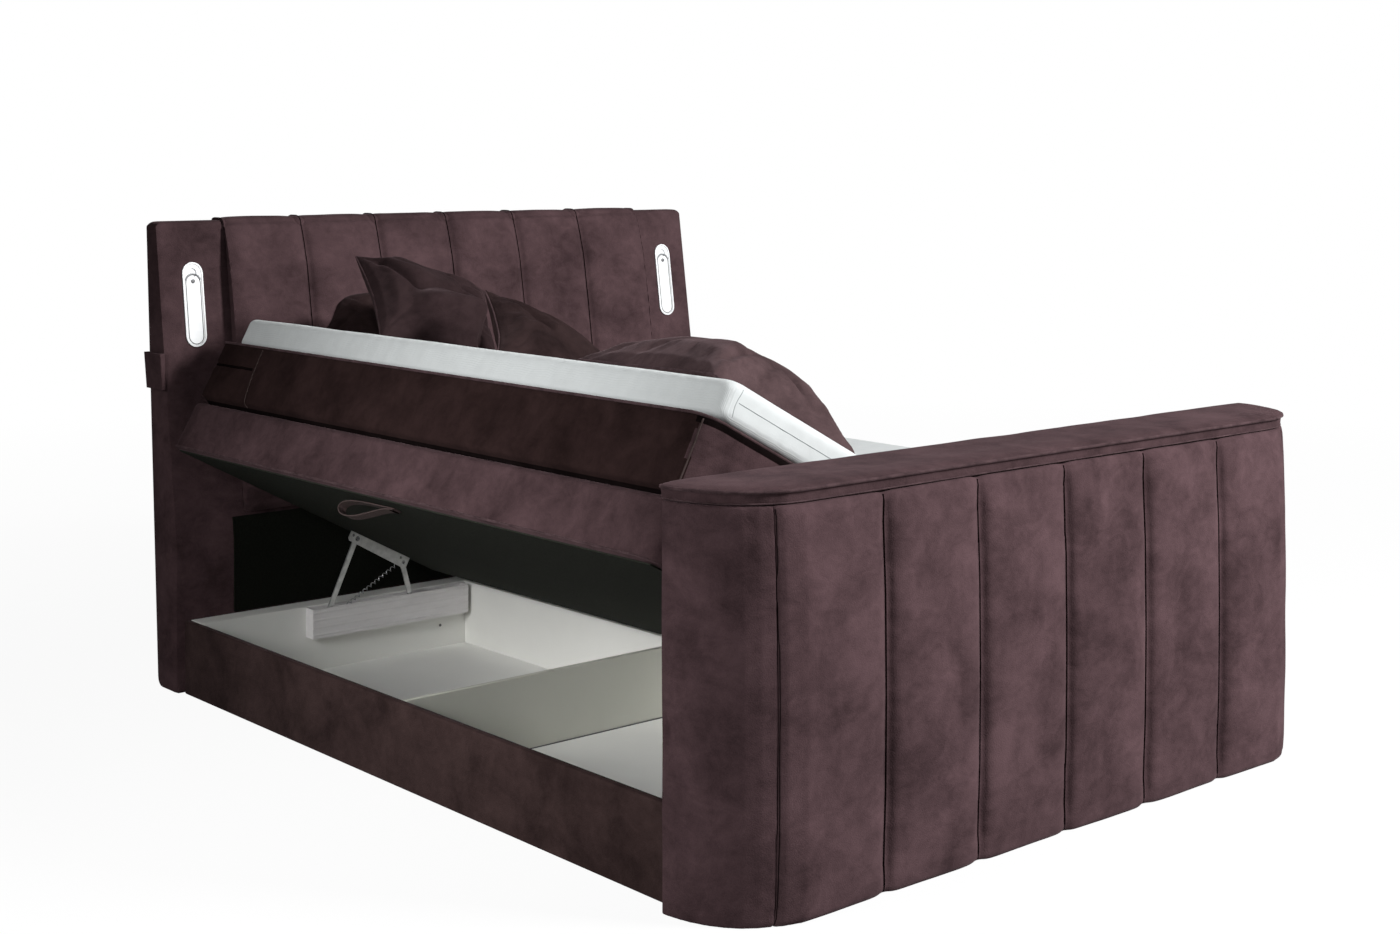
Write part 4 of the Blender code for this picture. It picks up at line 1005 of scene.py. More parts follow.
@dataclass
class LiftingHalf:
    """Spring box, mattress, topper, lining and strap of one half, worked on as if closed on the right."""

    side: Side
    seed: float
    voxel: float = 0.0065
    topper_voxel: float = 0.0085
    piping: float = 0.0034
    border_ripple: float = 0.0026
    strap_thickness: float = 0.0024
    rivet_height: float = 0.00025
    edge_roll: float = 0.013
    topper_roll: float = 0.009
    calm: float = 0.030
    # Depths of the mattress's painted-shade rims: at the top of the foot face under the topper, and along the bottom
    # of the border.
    shaded_top: float = 0.020
    shaded_foot: float = 0.010
    slit_share: float = 0.62
    corner_radii: tuple[float, ...] = (0.004, 0.055, 0.014, 0.004)
    pivots: tuple[Point, ...] = ((0.33344, 0.18806, 0.0072), (0.15433, 0.18136, 0.0072),
                                 (0.350, 0.1925, 0.0042), (0.170, 0.1915, 0.0042))

    @property
    def body(self) -> str:
        """The CAD body of this half."""
        return f"{self.side.tag}_half"

    @property
    def piping_inset(self) -> Vector:
        """How far the pipings draw back from the other half and from the footboard."""
        return Vector((1.5 * self.piping, self.piping, 0.0))

    def to_rest(self, piece: Thing) -> Thing:
        """Take a piece modelled on the closed right half to its own side and rest.

        Args:
            piece: The piece.

        Returns:
            The same piece.
        """
        if self.side is Side.LEFT:
            about = Matrix.Translation(Vector((HINGE.x, 0.0, 0.0)))
            piece.data.transform(about @ Matrix.Scale(-1.0, 4, (1.0, 0.0, 0.0)) @ about.inverted())
            piece.data.flip_normals()
            turn = Matrix.Translation(HINGE) @ Matrix.Rotation(OPEN_TURN, 4, "Y") @ Matrix.Translation(-HINGE)
            piece.data.transform(turn)
        return piece

    def build(self) -> None:
        """Make every piece of the half."""
        self.build_spring_box()
        self.build_mattress()
        self.build_topper()
        self.build_lining()
        self.build_strap()
        self.build_rivets()

    def placed(self, piece: Thing, finish: Finish, *nodes: str, fill: float = 0.0) -> None:
        """Take a piece to its own side and rest, and finish it.

        Args:
            piece: The piece.
            finish: Its finish.
            *nodes: The CAD nodes that it replaces.
            fill: How full a padded piece is.
        """
        finished(self.to_rest(piece), finish, self.body, *nodes, fill=fill)

    def add_piping(self, name: str, low: Vector, high: Vector, level: float, radius: float) -> None:
        """A piping round the half at one level.

        Args:
            name: Name of the piece.
            low: Lowest corner of what it goes round.
            high: Highest corner.
            level: Its height.
            radius: Its radius.
        """
        loop = rounded_loop(low + self.piping_inset, high, level, self.corner_radii)
        self.placed(tube_along(f"{name}_{self.side.tag}", loop, radius, True), PLUM_PIPING)

    def border_wave(self, place: Vector, low: Vector, high: Vector, coarse: Point, fine: Point,
                    fine_share: float, shift: tuple[float, float]) -> float:
        """Ripples of an upholstered border, calm at its edges and towards the other half.

        Args:
            place: Where it is read.
            low: Lowest corner of the border.
            high: Highest corner.
            coarse: Grain of the coarse ripples.
            fine: Grain of the fine ones.
            fine_share: How strong the fine ones are.
            shift: Moves each pattern.

        Returns:
            The value.
        """
        body = math.sin(math.pi * clamped((place.z - low.z) / (high.z - low.z)))
        wave = ripple(place, coarse, self.seed + shift[0]) + fine_share * ripple(place, fine, self.seed + shift[1])
        return body * clamped((place.x - low.x) / self.calm) * wave

    def build_spring_box(self) -> None:
        """The upholstered box under the mattress, its border slightly rippled."""
        low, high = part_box("spring_box_right")

        def push(place: Vector, normal: Vector) -> Vector:
            share = (place.z - low.z) / (high.z - low.z)
            wave = self.border_wave(place, low, high, (0.11, 0.13, 0.30), (0.05, 0.06, 0.09), 0.5, (0.0, 3.0))
            rolled = 0.6 * self.edge_roll * max(0.0, 1.0 - (1.0 - share) / 0.10) ** 2
            return Vector((normal.x, normal.y, 0.0)) * (self.border_ripple * wave - rolled)

        piece = covered("spring_box_right", f"spring_border_{self.side.tag}", self.voxel, push, 3)
        melt_hidden(piece, lambda middle, normal: abs(normal.z) > 0.97 and (
            middle.z > high.z - 0.01 or middle.z < low.z + 0.004))
        # Painted shade: the darker copy of the velvet.
        self.placed(piece, PLUM_DIMMED, f"spring_box_{self.side.tag}", fill=0.9)
        self.add_piping("spring_border_piping", low, high, low.z + 0.006, self.piping * 0.8)

    def build_mattress(self) -> None:
        """The mattress, its border puffed between two pipings and rippled."""
        low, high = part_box("mattress_right")
        height = high.z - low.z

        def push(place: Vector, normal: Vector) -> Vector:
            wave = self.border_wave(place, low, high, (0.09, 0.12, 0.22), (0.04, 0.05, 0.10), 0.6, (7.0, 9.0))
            rolled = self.edge_roll * max(0.0, 1.0 - clamped((place.z - low.z) / height) / 0.13) ** 2
            near = math.exp(-((place.z - low.z - self.slit_share * height) / 0.006) ** 2)
            slit = 0.006 * near if place.x > high.x - 0.02 and place.y > high.y - 0.150 else 0.0
            return Vector((normal.x, normal.y, 0.0)) * (1.4 * self.border_ripple * wave - rolled - slit)

        piece = covered("mattress_right", f"mattress_cover_{self.side.tag}", self.voxel, push, 3)
        melt_hidden(piece, lambda middle, normal: abs(normal.z) > 0.97 and (
            middle.z > high.z - 0.006 or middle.z < low.z + 0.004))
        seams = self.border_seams(piece, low, high)
        starts = [Vector((high.x + RAY_START, high.y - 0.012 - 0.205 * share, low.z + self.slit_share * height))
                  for share in shares(24)]
        slit = tube_along(f"mattress_slit_{self.side.tag}", laid_on(piece, starts, TOWARD_MIDDLE), 2.6 * SEAM_THREAD)
        # Painted light: the foot faces, turned toward the key light, take the lighter velvet copy.
        lit_foot_faces = [face.index for face in piece.data.polygons if face.normal.y < -0.55]
        # Painted shade: near-black rims under the topper's overhang on the foot face and along the border's bottom.
        shaded_faces = [face.index for face in piece.data.polygons
                        if face.center.z > high.z - self.shaded_top and face.normal.y < -0.3
                        or face.center.z < low.z + self.shaded_foot]
        # Painted shade: the border in the much darker mattress copy of the velvet.
        self.placed(piece, PLUM_SHADED, f"mattress_{self.side.tag}", fill=0.9)
        for index, (finish, faces) in enumerate(((PLUM_DIMMED, lit_foot_faces), (SEAM_AND_SHADE, shaded_faces)), 1):
            piece.data.materials.append(finish.material())
            for face in faces:
                piece.data.polygons[face].material_index = index
        # The upright border seams in a paler tone than the painted-shade border.
        self.placed(seams, SEAM_PALE)
        self.placed(slit, SEAM_AND_SHADE)
        self.add_piping("mattress_piping", low, high, high.z - 0.004, self.piping)

    def border_seams(self, cover: Thing, low: Vector, high: Vector) -> Thing:
        """Upright seams near both corners of the border.

        Args:
            cover: The mattress cover, still on the closed right side.
            low: Its lowest corner.
            high: Its highest corner.

        Returns:
            The seams as one piece.
        """
        height = high.z - low.z
        tubes = []
        for name, along, bow in (("head", high.y - 0.225, -0.030), ("foot", low.y + 0.024, 0.0)):
            starts = [Vector((high.x + RAY_START, along + bow * (1.0 - share) ** 2,
                              low.z + height * (0.06 + 0.88 * share))) for share in shares(24)]
            tubes.append(tube_along(f"border_seam_{name}", laid_on(cover, starts, TOWARD_MIDDLE), 1.4 * SEAM_THREAD))
        return joined(f"mattress_seams_{self.side.tag}", tubes)

    def build_topper(self) -> None:
        """The topper, softly dented over its surface."""
        low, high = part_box("topper_right")

        def push(place: Vector, normal: Vector) -> Vector:
            wave = ripple(place, (0.16, 0.20, 0.5), self.seed + 11)
            edge = min(high.z - place.z, place.z - low.z)
            rolled = self.topper_roll * max(0.0, 1.0 - edge / 0.020) ** 2
            frill = 0.0016 * ripple(place, (0.035, 0.030, 0.20), self.seed + 17)
            return normal * (0.0012 * wave) + Vector((normal.x, normal.y, 0.0)) * (frill - rolled)

        piece = covered("topper_right", f"topper_cover_{self.side.tag}", self.topper_voxel, push, 3)
        melt_hidden(piece, lambda middle, normal: normal.z < -0.97 and middle.z < low.z + 0.006)
        seams = self.topper_seams(piece, low, high)
        self.placed(piece, TICKING, f"topper_{self.side.tag}", fill=0.8)
        self.placed(seams, TICKING_SEAM)

    def topper_seams(self, cover: Thing, low: Vector, high: Vector) -> Thing:
        """The zip's line round the outer corner of the foot end, with its upright end.

        Args:
            cover: The topper's cover, still on the closed right side.
            low: Its lowest corner.
            high: Its highest corner.

        Returns:
            The seams as one piece.
        """
        level = low.z + 0.52 * (high.z - low.z)
        line = [Vector((low.x + 0.02 + (high.x - 0.055 - low.x) * share, low.y - RAY_START, level))
                for share in shares(40)]
        end = [Vector((high.x - 0.032 + 0.004 * math.sin(4.0 * share), low.y - RAY_START,
                       low.z + 0.016 + (high.z - low.z - 0.032) * share)) for share in shares(12)]
        return joined(f"topper_seams_{self.side.tag}", [
            tube_along(name, laid_on(cover, starts, TOWARD_HEAD), 0.0009)
            for name, starts in (("zip_line", line), ("zip_end", end))])

    def build_lining(self) -> None:
        """The thin black cover under the spring box, drawn a little between its staples."""
        low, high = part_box("underside_right")
        piece = box_piece(f"lining_{self.side.tag}", low, high)
        with editing(piece, whole=True):
            bpy.ops.mesh.subdivide(number_cuts=24)
        middle = (low + high) / 2

        def push(place: Vector, normal: Vector) -> Vector:
            inside = min(place.x - low.x, high.x - place.x, place.y - low.y, high.y - place.y)
            share = min(1.0, inside / 0.12)
            wave = ripple(place, (0.14, 0.17, 1.0), self.seed + 13)
            return Vector((0.0, 0.0, 0.0010 * share * wave)) if place.z < middle.z else Vector()

        moved(piece, push)
        self.placed(piece, FLEECE_UNDER, f"underside_{self.side.tag}")

    def build_strap(self) -> None:
        """The webbing loop that the half is lifted by: a drop shape, both ends sewn at one place."""
        low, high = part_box("pull_strap_right")
        long, deep = high.y - low.y, high.z - low.z
        top = high.z - self.strap_thickness / 2 - 0.0004
        shares = ((0.00, 0.00), (0.10, 0.00), (0.30, 0.02), (0.55, 0.03), (0.78, 0.10), (0.93, 0.24),
                  (0.99, 0.52), (0.93, 0.84), (0.80, 0.95), (0.62, 0.84), (0.42, 0.52), (0.24, 0.20),
                  (0.12, 0.07), (0.02, 0.06))
        path = [(low.y + long * along, top - (deep - self.strap_thickness) * down) for along, down in shares]
        piece = ribbon_along(f"lifting_strap_{self.side.tag}", path, (low.x + high.x) / 2, high.x - low.x,
                             self.strap_thickness)
        self.placed(piece, STRAP, f"pull_strap_{self.side.tag}")
        tack = box_piece(f"strap_tack_{self.side.tag}", Vector((low.x + 0.002, low.y + 0.004, top - 0.0052)),
                         Vector((high.x - 0.002, low.y + 0.030, top - 0.0034)))
        apply_modifier(tack, "BEVEL", width=0.0006, segments=2)
        self.placed(tack, SEAM_AND_SHADE)

    def build_rivets(self) -> None:
        """The heads of the pivots and screws on the bars of the lift fittings."""
        discs, socket_shades = [], []
        for end, inward in (("head", -1.0), ("foot", 1.0)):
            low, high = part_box(f"lift_bar_right_{end}")
            face = low.y if inward < 0 else high.y
            out = Vector((0.0, inward, 0.0))
            for across, up, radius in self.pivots:
                discs.append(disc_piece(f"rivet_{end}_{across}", Vector((across, face, up)), out, radius,
                                        self.rivet_height, 16))
                # Painted shade: a thin dark disc on each head's middle stands for the shade in its socket.
                socket_shades.append(disc_piece(f"socket_{end}_{across}",
                                          Vector((across, face + self.rivet_height * inward, up)), out,
                                          0.55 * radius, 0.4 * self.rivet_height, 16))
        self.placed(joined(f"fitting_rivets_{self.side.tag}", discs), CHROME)
        self.placed(joined(f"fitting_sockets_{self.side.tag}", socket_shades), SWITCH)


@dataclass
class Base:
    """The upholstered box on the floor with its white inside."""

    rail_edge: float = 0.006
    hem: float = 0.0030
    joint_gap: float = 0.0024

    def build(self) -> None:
        """Make every piece of the base."""
        for side in Side:
            self.build_side_rail(side)
            self.build_joint(side)
            # Painted light on the storage floors and painted shade on the dividers, by lighter and darker copies of
            # the white board.
            dress(f"box_floor_{side.tag}", FLOOR_BOARD_LIT)
            dress(f"divider_{side.tag}", DIVIDER_BOARD_SHADED)
        for node in ("foot_rail", "head_rail", "centre_rail"):
            dress(node, WHITE_BOARD)

    def build_side_rail(self, side: Side) -> None:
        """A covered side rail with softly rounded edges.

        Args:
            side: The side of the bed.
        """
        low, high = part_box(f"side_rail_{side.tag}")
        piece = box_piece(f"rail_cover_{side.tag}", low, high)
        apply_modifier(piece, "BEVEL", width=self.rail_edge, segments=4)
        # Painted shade: the darker rail copy of the velvet.
        finished(piece, PLUM_RAIL_SHADED, "frame", f"side_rail_{side.tag}")
        # Painted shadow: a near-black tube along the fabric folded over the rail's inner top edge.
        inner = high.x if side is Side.LEFT else low.x
        clear = math.copysign(self.hem, inner - (low.x + high.x) / 2)
        ends = [Vector((inner - clear, along, high.z - 1.1 * self.hem)) for along in (low.y + 0.004, high.y - 0.004)]
        finished(tube_along(f"rail_hem_{side.tag}", ends, self.hem), SEAM_AND_SHADE, "frame")

    def build_joint(self, side: Side) -> None:
        """The dark open joint at the foot of a divider.

        Args:
            side: The side of the bed.
        """
        low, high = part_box(f"divider_{side.tag}")
        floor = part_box(f"box_floor_{side.tag}")[1].z
        line = box_piece(f"divider_joint_{side.tag}", Vector((low.x + 0.001, low.y - self.joint_gap, floor)),
                         Vector((high.x - 0.001, low.y - 0.0001, floor + self.joint_gap)))
        finished(line, SWITCH, "frame")


@dataclass
class LiftFittings:
    """The channels, bars, arms and springs between the base and the halves."""

    screw_place: tuple[float, float] = (0.138, 0.080)

    def build(self) -> None:
        """Give the fittings their finishes and drive a screw under each channel at the head."""
        finishes = {"lift_channel": CHANNEL, "lift_bar": ZINC, "long_arm": ZINC, "short_arm": ZINC,
                    "lift_spring": SPRING}
        for side in Side:
            for kind, finish in finishes.items():
                for end in ("head", "foot"):
                    dress(f"{kind}_{side.tag}_{end}", finish)
            low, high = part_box(f"lift_channel_{side.tag}_head")
            across = math.copysign(self.screw_place[0], low.x + high.x)
            place = Vector((across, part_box("head_rail")[0].y + 0.0004, self.screw_place[1]))
            add_stud(f"rail_screw_{side.tag}", place, -TOWARD_HEAD, 0.0042, 0.0022, "frame")


@dataclass
class Headboard:
    """The leaning headboard: covered body, channelled pad, lining, pocket and lamps."""

    voxel: float = 0.0060
    channels: int = 6
    seam_ripple: float = 0.0026
    groove_depth: float = 0.0085
    groove_width: float = 0.016
    corner_radius: float = 0.030
    lamp_margin: float = 0.0035
    lamp_scoop: float = 0.028
    seed: float = 53.0

    def build(self) -> None:
        """Make every piece of the headboard."""
        self.build_body()
        self.build_pad()
        self.build_lining()
        self.build_pocket()
        for side in Side:
            dress(f"lamp_housing_{side.tag}", LAMP)
            dress(f"lamp_arm_{side.tag}", LAMP)
            self.build_lamp_trim(side)

    def build_lamp_trim(self, side: Side) -> None:
        """The dark joint line round the lamp's arm, the shade of the scoop above it and a small switch.

        Args:
            side: The side of the bed.
        """
        arm = f"lamp_arm_{side.tag}"
        low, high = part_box(arm)
        slope = Vector((0.0, 0.147, 1.0)).normalized()
        out = Vector((0.0, -slope.z, slope.y))
        middle = (low + high) / 2
        across = (high.x - low.x) / 2 - self.lamp_margin
        reach = (high.z - low.z) / 2 / slope.z - self.lamp_margin - across
        top = reach - self.lamp_scoop

        def on_arm(radius: float, first: float, last: float, centre: float) -> list[Vector]:
            starts = []
            for share in shares(20):
                angle = math.radians(first + (last - first) * share)
                starts.append(middle + Vector((radius * math.cos(angle), 0.0, 0.0)) + out * RAY_START
                              + slope * (centre + radius * math.sin(angle)))
            return laid_on(FRAME["nodes"][arm], starts, -out, 0.0002)

        body = f"lamp_{side.tag}"
        line = on_arm(across, 0.0, 180.0, top) + on_arm(across, 180.0, 360.0, -reach)
        finished(tube_along(f"lamp_line_{side.tag}", line, 0.0011, True), SWITCH, body)
        # Painted shade: a grey tube just above the arm's top, in the scoop.
        shade = on_arm(across + 0.0012, 12.0, 168.0, top + 0.0022)
        finished(tube_along(f"lamp_shade_{side.tag}", shade, 0.0020), LAMP_SCOOP_SHADE, body)
        spot = laid_on(FRAME["nodes"][arm], [middle + slope * (top + 0.004) + out * RAY_START], -out)[0]
        add_stud(f"lamp_switch_{side.tag}", spot - out * 0.0006, out, 0.0058, 0.0026, body)

    def build_body(self) -> None:
        """The covered slab, with a recess for each lamp and its top corners rounded off."""
        piece = copy_of("headboard_core", "headboard_cover")
        low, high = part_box("headboard_core")
        radius = self.corner_radius
        for side in Side:
            outer = high.x if side is Side.RIGHT else low.x
            centre = Vector((outer - side.value * radius, 0.0, high.z - radius))
            for angle in (12.0, 28.0, 45.0, 62.0, 78.0):
                toward = Vector((side.value * math.cos(math.radians(angle)), 0.0, math.sin(math.radians(angle))))
                with editing(piece, whole=True):
                    bpy.ops.mesh.bisect(plane_co=centre + toward * radius, plane_no=toward, use_fill=True,
                                        clear_outer=True)
        # Painted shade: the darker copy of the velvet.
        finished(piece, PLUM_DIMMED, "frame", "headboard_core", sharp=32.0)

    def build_pad(self) -> None:
        """The six channels, gathered at their seams and along the top."""
        low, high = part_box("headboard_pad")
        pitch = (high.x - low.x) / self.channels

        def push(place: Vector, normal: Vector) -> Vector:
            along = ((place.x - low.x) / pitch) % 1.0
            near = min(along, 1.0 - along) * pitch
            groove = self.groove_depth * math.exp(-(near / self.groove_width) ** 2)
            wave = gathered(place, near, (0.09, 0.5, 0.022), (0.16, 0.5, 0.13), self.seed)
            return normal * (self.seam_ripple * wave - groove)

        piece = covered("headboard_pad", "headboard_channels", self.voxel, push)
        melt_hidden(piece, lambda middle, normal: normal.y > 0.9 and middle.z < high.z - 0.08)
        # Painted shade: the darker copy of the velvet.
        finished(piece, PLUM_DIMMED, "frame", "headboard_pad", sharp=60.0, fill=0.8)
        self.build_seams(piece, low, high, pitch)

    def build_seams(self, pad: Thing, low: Vector, high: Vector, pitch: float) -> None:
        """The sewn line at the bottom of each groove, over the pad's top.

        Args:
            pad: The pad.
            low: Its lowest corner.
            high: Its highest corner.
            pitch: Width of a channel.
        """
        tubes = []
        for channel in range(1, self.channels):
            across = low.x + pitch * channel
            fronts = [Vector((across, low.y - 0.1, low.z + 0.01 + (high.z - low.z - 0.022) * share))
                      for share in shares(60)]
            points = laid_on(pad, fronts, TOWARD_HEAD, SEAM_THREAD / 2)
            tops = [Vector((across, points[-1].y + (high.y - 0.012 - points[-1].y) * share, high.z + 0.1))
                    for share in shares(10)[1:]]
            points += laid_on(pad, tops, DOWN, SEAM_THREAD / 2)
            tubes.append(tube_along(f"channel_seam_{channel}", points, SEAM_THREAD))
        # The stitch line is real; its near-black tone is also painted shade at the bottom of each groove.
        finished(joined("headboard_seams", tubes), SEAM_AND_SHADE, "frame")

    def build_lining(self) -> None:
        """The fleece on the hidden lower part."""
        piece = copy_of("headboard_lining", "headboard_fleece")
        # Painted shade: the darker copy of the black fleece.
        finished(piece, FLEECE_SHADED, "frame", "headboard_lining")

    def build_pocket(self) -> None:
        """The pouch on the left side, copied from its CAD form; the hem of its mouth is not added."""
        # Painted shade: the darker copy of the velvet.
        finished(copy_of("side_pocket", "side_pouch"), PLUM_DIMMED, "frame", "side_pocket")


@dataclass
class Footboard:
    """The padded footboard, its lid, and the television lift in it."""

    voxel: float = 0.0055
    lid_voxel: float = 0.0050
    groove_depth: float = 0.0090
    groove_width: float = 0.018
    lid_piping: float = 0.0036
    seams: tuple[float, ...] = (-0.855, -0.568, -0.284, 0.0, 0.284, 0.568, 0.855)
    seam_ripple: float = 0.0030
    end_seam_inset: float = 0.0012
    seed: float = 71.0

    def build(self) -> None:
        """Make every piece of the footboard."""
        self.build_front()
        for side in Side:
            self.build_end(side)
        self.build_rear()
        self.build_lid()
        for node, finish in (("footboard_floor", WHITE_BOARD), ("lift_tube", LIFT), ("television_bracket", LIFT),
                             ("lift_ram", ZINC)):
            dress(node, finish)

    def gather(self, place: Vector, normal: Vector) -> Vector:
        """Offset of a point of the padding: gathered at the seams, softly rippled between them.

        Args:
            place: The point.
            normal: Its normal.

        Returns:
            The offset.
        """
        near = min(abs(place.x - HINGE.x - seam) for seam in self.seams[1:-1])
        rim = clamped(min(place.z - 0.01, 0.80 - place.z) / 0.05)
        groove = self.groove_depth * (0.3 + 0.7 * rim) * math.exp(-(near / self.groove_width) ** 2)
        wave = gathered(place, near, (0.09, 0.5, 0.024), (0.15, 0.4, 0.16), self.seed)
        return normal * (self.seam_ripple * wave - groove)

    def build_front(self) -> None:
        """The channelled front."""
        low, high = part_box("footboard_front")
        piece = covered("footboard_front", "footboard_channels", self.voxel, self.gather)
        melt_hidden(piece, lambda middle, normal: normal.y > 0.9)
        finished(piece, PLUM, "frame", "footboard_front", sharp=60.0, fill=0.8)
        tubes = []
        for index, seam in enumerate(self.seams):
            outermost = index in (0, len(self.seams) - 1)
            across = HINGE.x + seam - (math.copysign(self.end_seam_inset, seam) if outermost else 0.0)
            fronts = [Vector((across, low.y - 0.1, low.z + 0.006 + (high.z - low.z - 0.012) * share))
                      for share in shares(60)]
            points = laid_on(piece, fronts, TOWARD_HEAD, SEAM_THREAD / 2)
            tubes.append(tube_along(f"front_seam_{index}", points, SEAM_THREAD * (0.6 if outermost else 1.1)))
        # The stitch line is real; its near-black tone is also painted shade at the bottom of each groove.
        finished(joined("footboard_seams", tubes), SEAM_AND_SHADE, "frame")

    def build_end(self, side: Side) -> None:
        """A rounded end.

        Args:
            side: The side of the bed.
        """
        node = f"footboard_end_{side.tag}"
        piece = covered(node, f"footboard_corner_{side.tag}", self.voxel, self.gather)
        finished(piece, PLUM, "frame", node, sharp=60.0, fill=0.8)

    def build_rear(self) -> None:
        """The covered rear panel."""
        low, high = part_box("footboard_rear")
        piece = box_piece("footboard_rear_cover", low, high)
        apply_modifier(piece, "BEVEL", width=0.003, segments=3)
        finished(piece, PLUM, "frame", "footboard_rear")

    def build_lid(self) -> None:
        """The padded lid that opens for the television."""
        piece = covered("footboard_lid", "footboard_lid_cover", self.lid_voxel, lambda place, normal: normal * (
            0.0014 * ripple(place, (0.12, 0.08, 0.2), self.seed + 5)))
        melt_hidden(piece, lambda middle, normal: normal.z < -0.97)
        # Painted shade: the darker copy of the velvet.
        finished(piece, PLUM_DIMMED, "foot_lid", "footboard_lid", sharp=60.0, fill=0.8)
        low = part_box("footboard_lid")[0]
        for name, level, radius in (("edge", low.z + 0.0275, self.lid_piping),
                                    ("hem", low.z + 0.004, self.lid_piping / 2)):
            cord = ring_around(piece, f"lid_piping_{name}", Vector((0.0, 0.0, level)), -DOWN, radius)
            finished(cord, PLUM_PIPING, "foot_lid")


@dataclass(frozen=True)
class Crease:
    """A ridge, valley or dent on a cushion's upper side; its ends are shares of the half width and length."""

    start_across: float
    start_along: float
    end_across: float
    end_along: float
    height: float
    width: float

    def lift(self, flat: Vector, half: Vector) -> float:
        """How far the crease lifts a point.

        Args:
            flat: The point in the cushion's own flat frame.
            half: Half the cushion's width and length.

        Returns:
            The lift.
        """
        first = Vector((self.start_across * half.x, self.start_along * half.y, 0.0))
        way = Vector((self.end_across * half.x, self.end_along * half.y, 0.0)) - first
        share = clamped((flat - first).dot(way) / max(way.length_squared, MERGE))
        away = (flat - first - way * share).length
        return self.height * math.exp(-(away / self.width) ** 2)


def creased(*rows: tuple[float, ...]) -> tuple[Crease, ...]:
    """Creases from rows of their start, end, height and width."""
    return tuple(Crease(*row) for row in rows)


@dataclass
class Cushion:
    """A loose cushion on the open half, blown up by cloth simulation and folded towards its corners."""

    node: str
    width: float
    length: float
    turns: Point
    finish: Finish
    creases: tuple[Crease, ...] = ()
    corners: tuple[Point, ...] = ((-1.0, -1.0, 0.0), (1.0, -1.0, 0.0), (-1.0, 1.0, 0.0), (1.0, 1.0, 0.0))
    bow: float = 0.0
    voxel: float = 0.0055
    cap: float = 0.016
    fold: float = 0.0085
    reach: float = 0.11
    rim: float = 0.055
    piping: float = 0.0022
    seed: float = 5.0

    def frame(self, middle: Vector) -> Matrix:
        """The cushion's own frame, flat and centred, in the bed's frame.

        Args:
            middle: Middle of the cushion.

        Returns:
            The matrix from the one to the other.
        """
        lying = Euler([math.radians(angle) for angle in self.turns]).to_matrix().to_4x4()
        return Matrix.Translation(middle) @ Matrix.Rotation(OPEN_TURN, 4, "Y") @ lying

    def settled(self, flat: Vector, half: Vector) -> Vector:
        """Where a point of the cushion comes to lie once its corners have settled.

        Args:
            flat: The point in the cushion's own frame.
            half: Half the cushion's width and length.

        Returns:
            The new point in the same frame.
        """
        across, along = flat.x / half.x, flat.y / half.y
        weights = [(1.0 + sx * across) * (1.0 + sy * along) / 4.0 for sx, sy in ((-1, -1), (1, -1), (-1, 1), (1, 1))]
        drawn = sum((Vector(corner) * weight for corner, weight in zip(self.corners, weights)), Vector())
        drawn.y += self.bow * (1.0 - min(1.0, across ** 2)) * max(0.0, along)
        edge = min(1.0, max(abs(across), abs(along))) ** 2
        return Vector((drawn.x * half.x, drawn.y * half.y, flat.z + drawn.z * edge))

    def folds(self, flat: Vector, half: Vector) -> float:
        """Sharp little folds that fan out from the four corners.

        Args:
            flat: The point in the cushion's own flat frame.
            half: Half the cushion's width and length.

        Returns:
            The offset.
        """
        depth = 0.0
        for index, (x, y) in enumerate(((-1, -1), (-1, 1), (1, -1), (1, 1))):
            away = flat - Vector((x * half.x, y * half.y, 0.0))
            wander = 2.2 * ripple(flat, (0.11, 0.11, 0.11), self.seed + index)
            valley = 1.0 - abs(math.sin(6.5 * math.atan2(away.y, away.x) + wander))
            spread = math.exp(-away.length / self.reach) * (1.0 - math.exp(-(away.length / 0.035) ** 2))
            depth -= spread * valley ** 2
        return self.fold * (1.6 * depth + 0.6 * ripple(flat, (0.10, 0.10, 0.10), self.seed + 9))

    def build(self) -> None:
        """Make the cushion from its CAD form, with folds at its corners and a piped rim."""
        piece = copy_of(self.node, f"{self.node}_cover")
        middle = sum((vertex.co for vertex in piece.data.vertices), Vector()) / len(piece.data.vertices)
        own = self.frame(middle)
        inward = own.inverted()
        half = Vector((self.width / 2, self.length / 2, 0.0))

        def inner(place: Vector) -> float:
            flat = inward @ place
            gap = min(half.x - abs(flat.x), half.y - abs(flat.y))
            return clamped(gap / self.rim)

        remeshed(piece, self.voxel, 2)
        swollen(piece, self.cap, share=inner)

        def push(place: Vector, normal: Vector) -> Vector:
            flat = inward @ place
            above = flat.z > 0.0
            flat.z = 0.0
            lift = self.folds(flat, half)
            if above:
                lift += sum(crease.lift(flat, half) for crease in self.creases)
            return normal * (lift * inner(place))

        moved(piece, push)
        apply_modifier(piece, "SMOOTH", factor=0.5, iterations=2)
        up = (own.to_3x3() @ Vector((0.0, 0.0, 1.0))).normalized()
        rim = ring_around(piece, f"{self.node}_piping", middle, up, self.piping, 0.0005)
        raised = Vector((math.sin(OPEN_TURN), 0.0, math.cos(OPEN_TURN)))
        bed = min(vertex.co.dot(raised) for vertex in FRAME["nodes"][self.node].data.vertices)

        def settle(place: Vector, normal: Vector) -> Vector:
            target = own @ self.settled(inward @ place, half)
            sunk = bed - target.dot(raised)
            return target - place + raised * max(0.0, sunk)

        moved(piece, settle)
        moved(rim, settle)
        finished(piece, self.finish, "left_half", self.node, sharp=70.0, fill=0.5)
        finished(rim, PLUM_PIPING, "left_half")


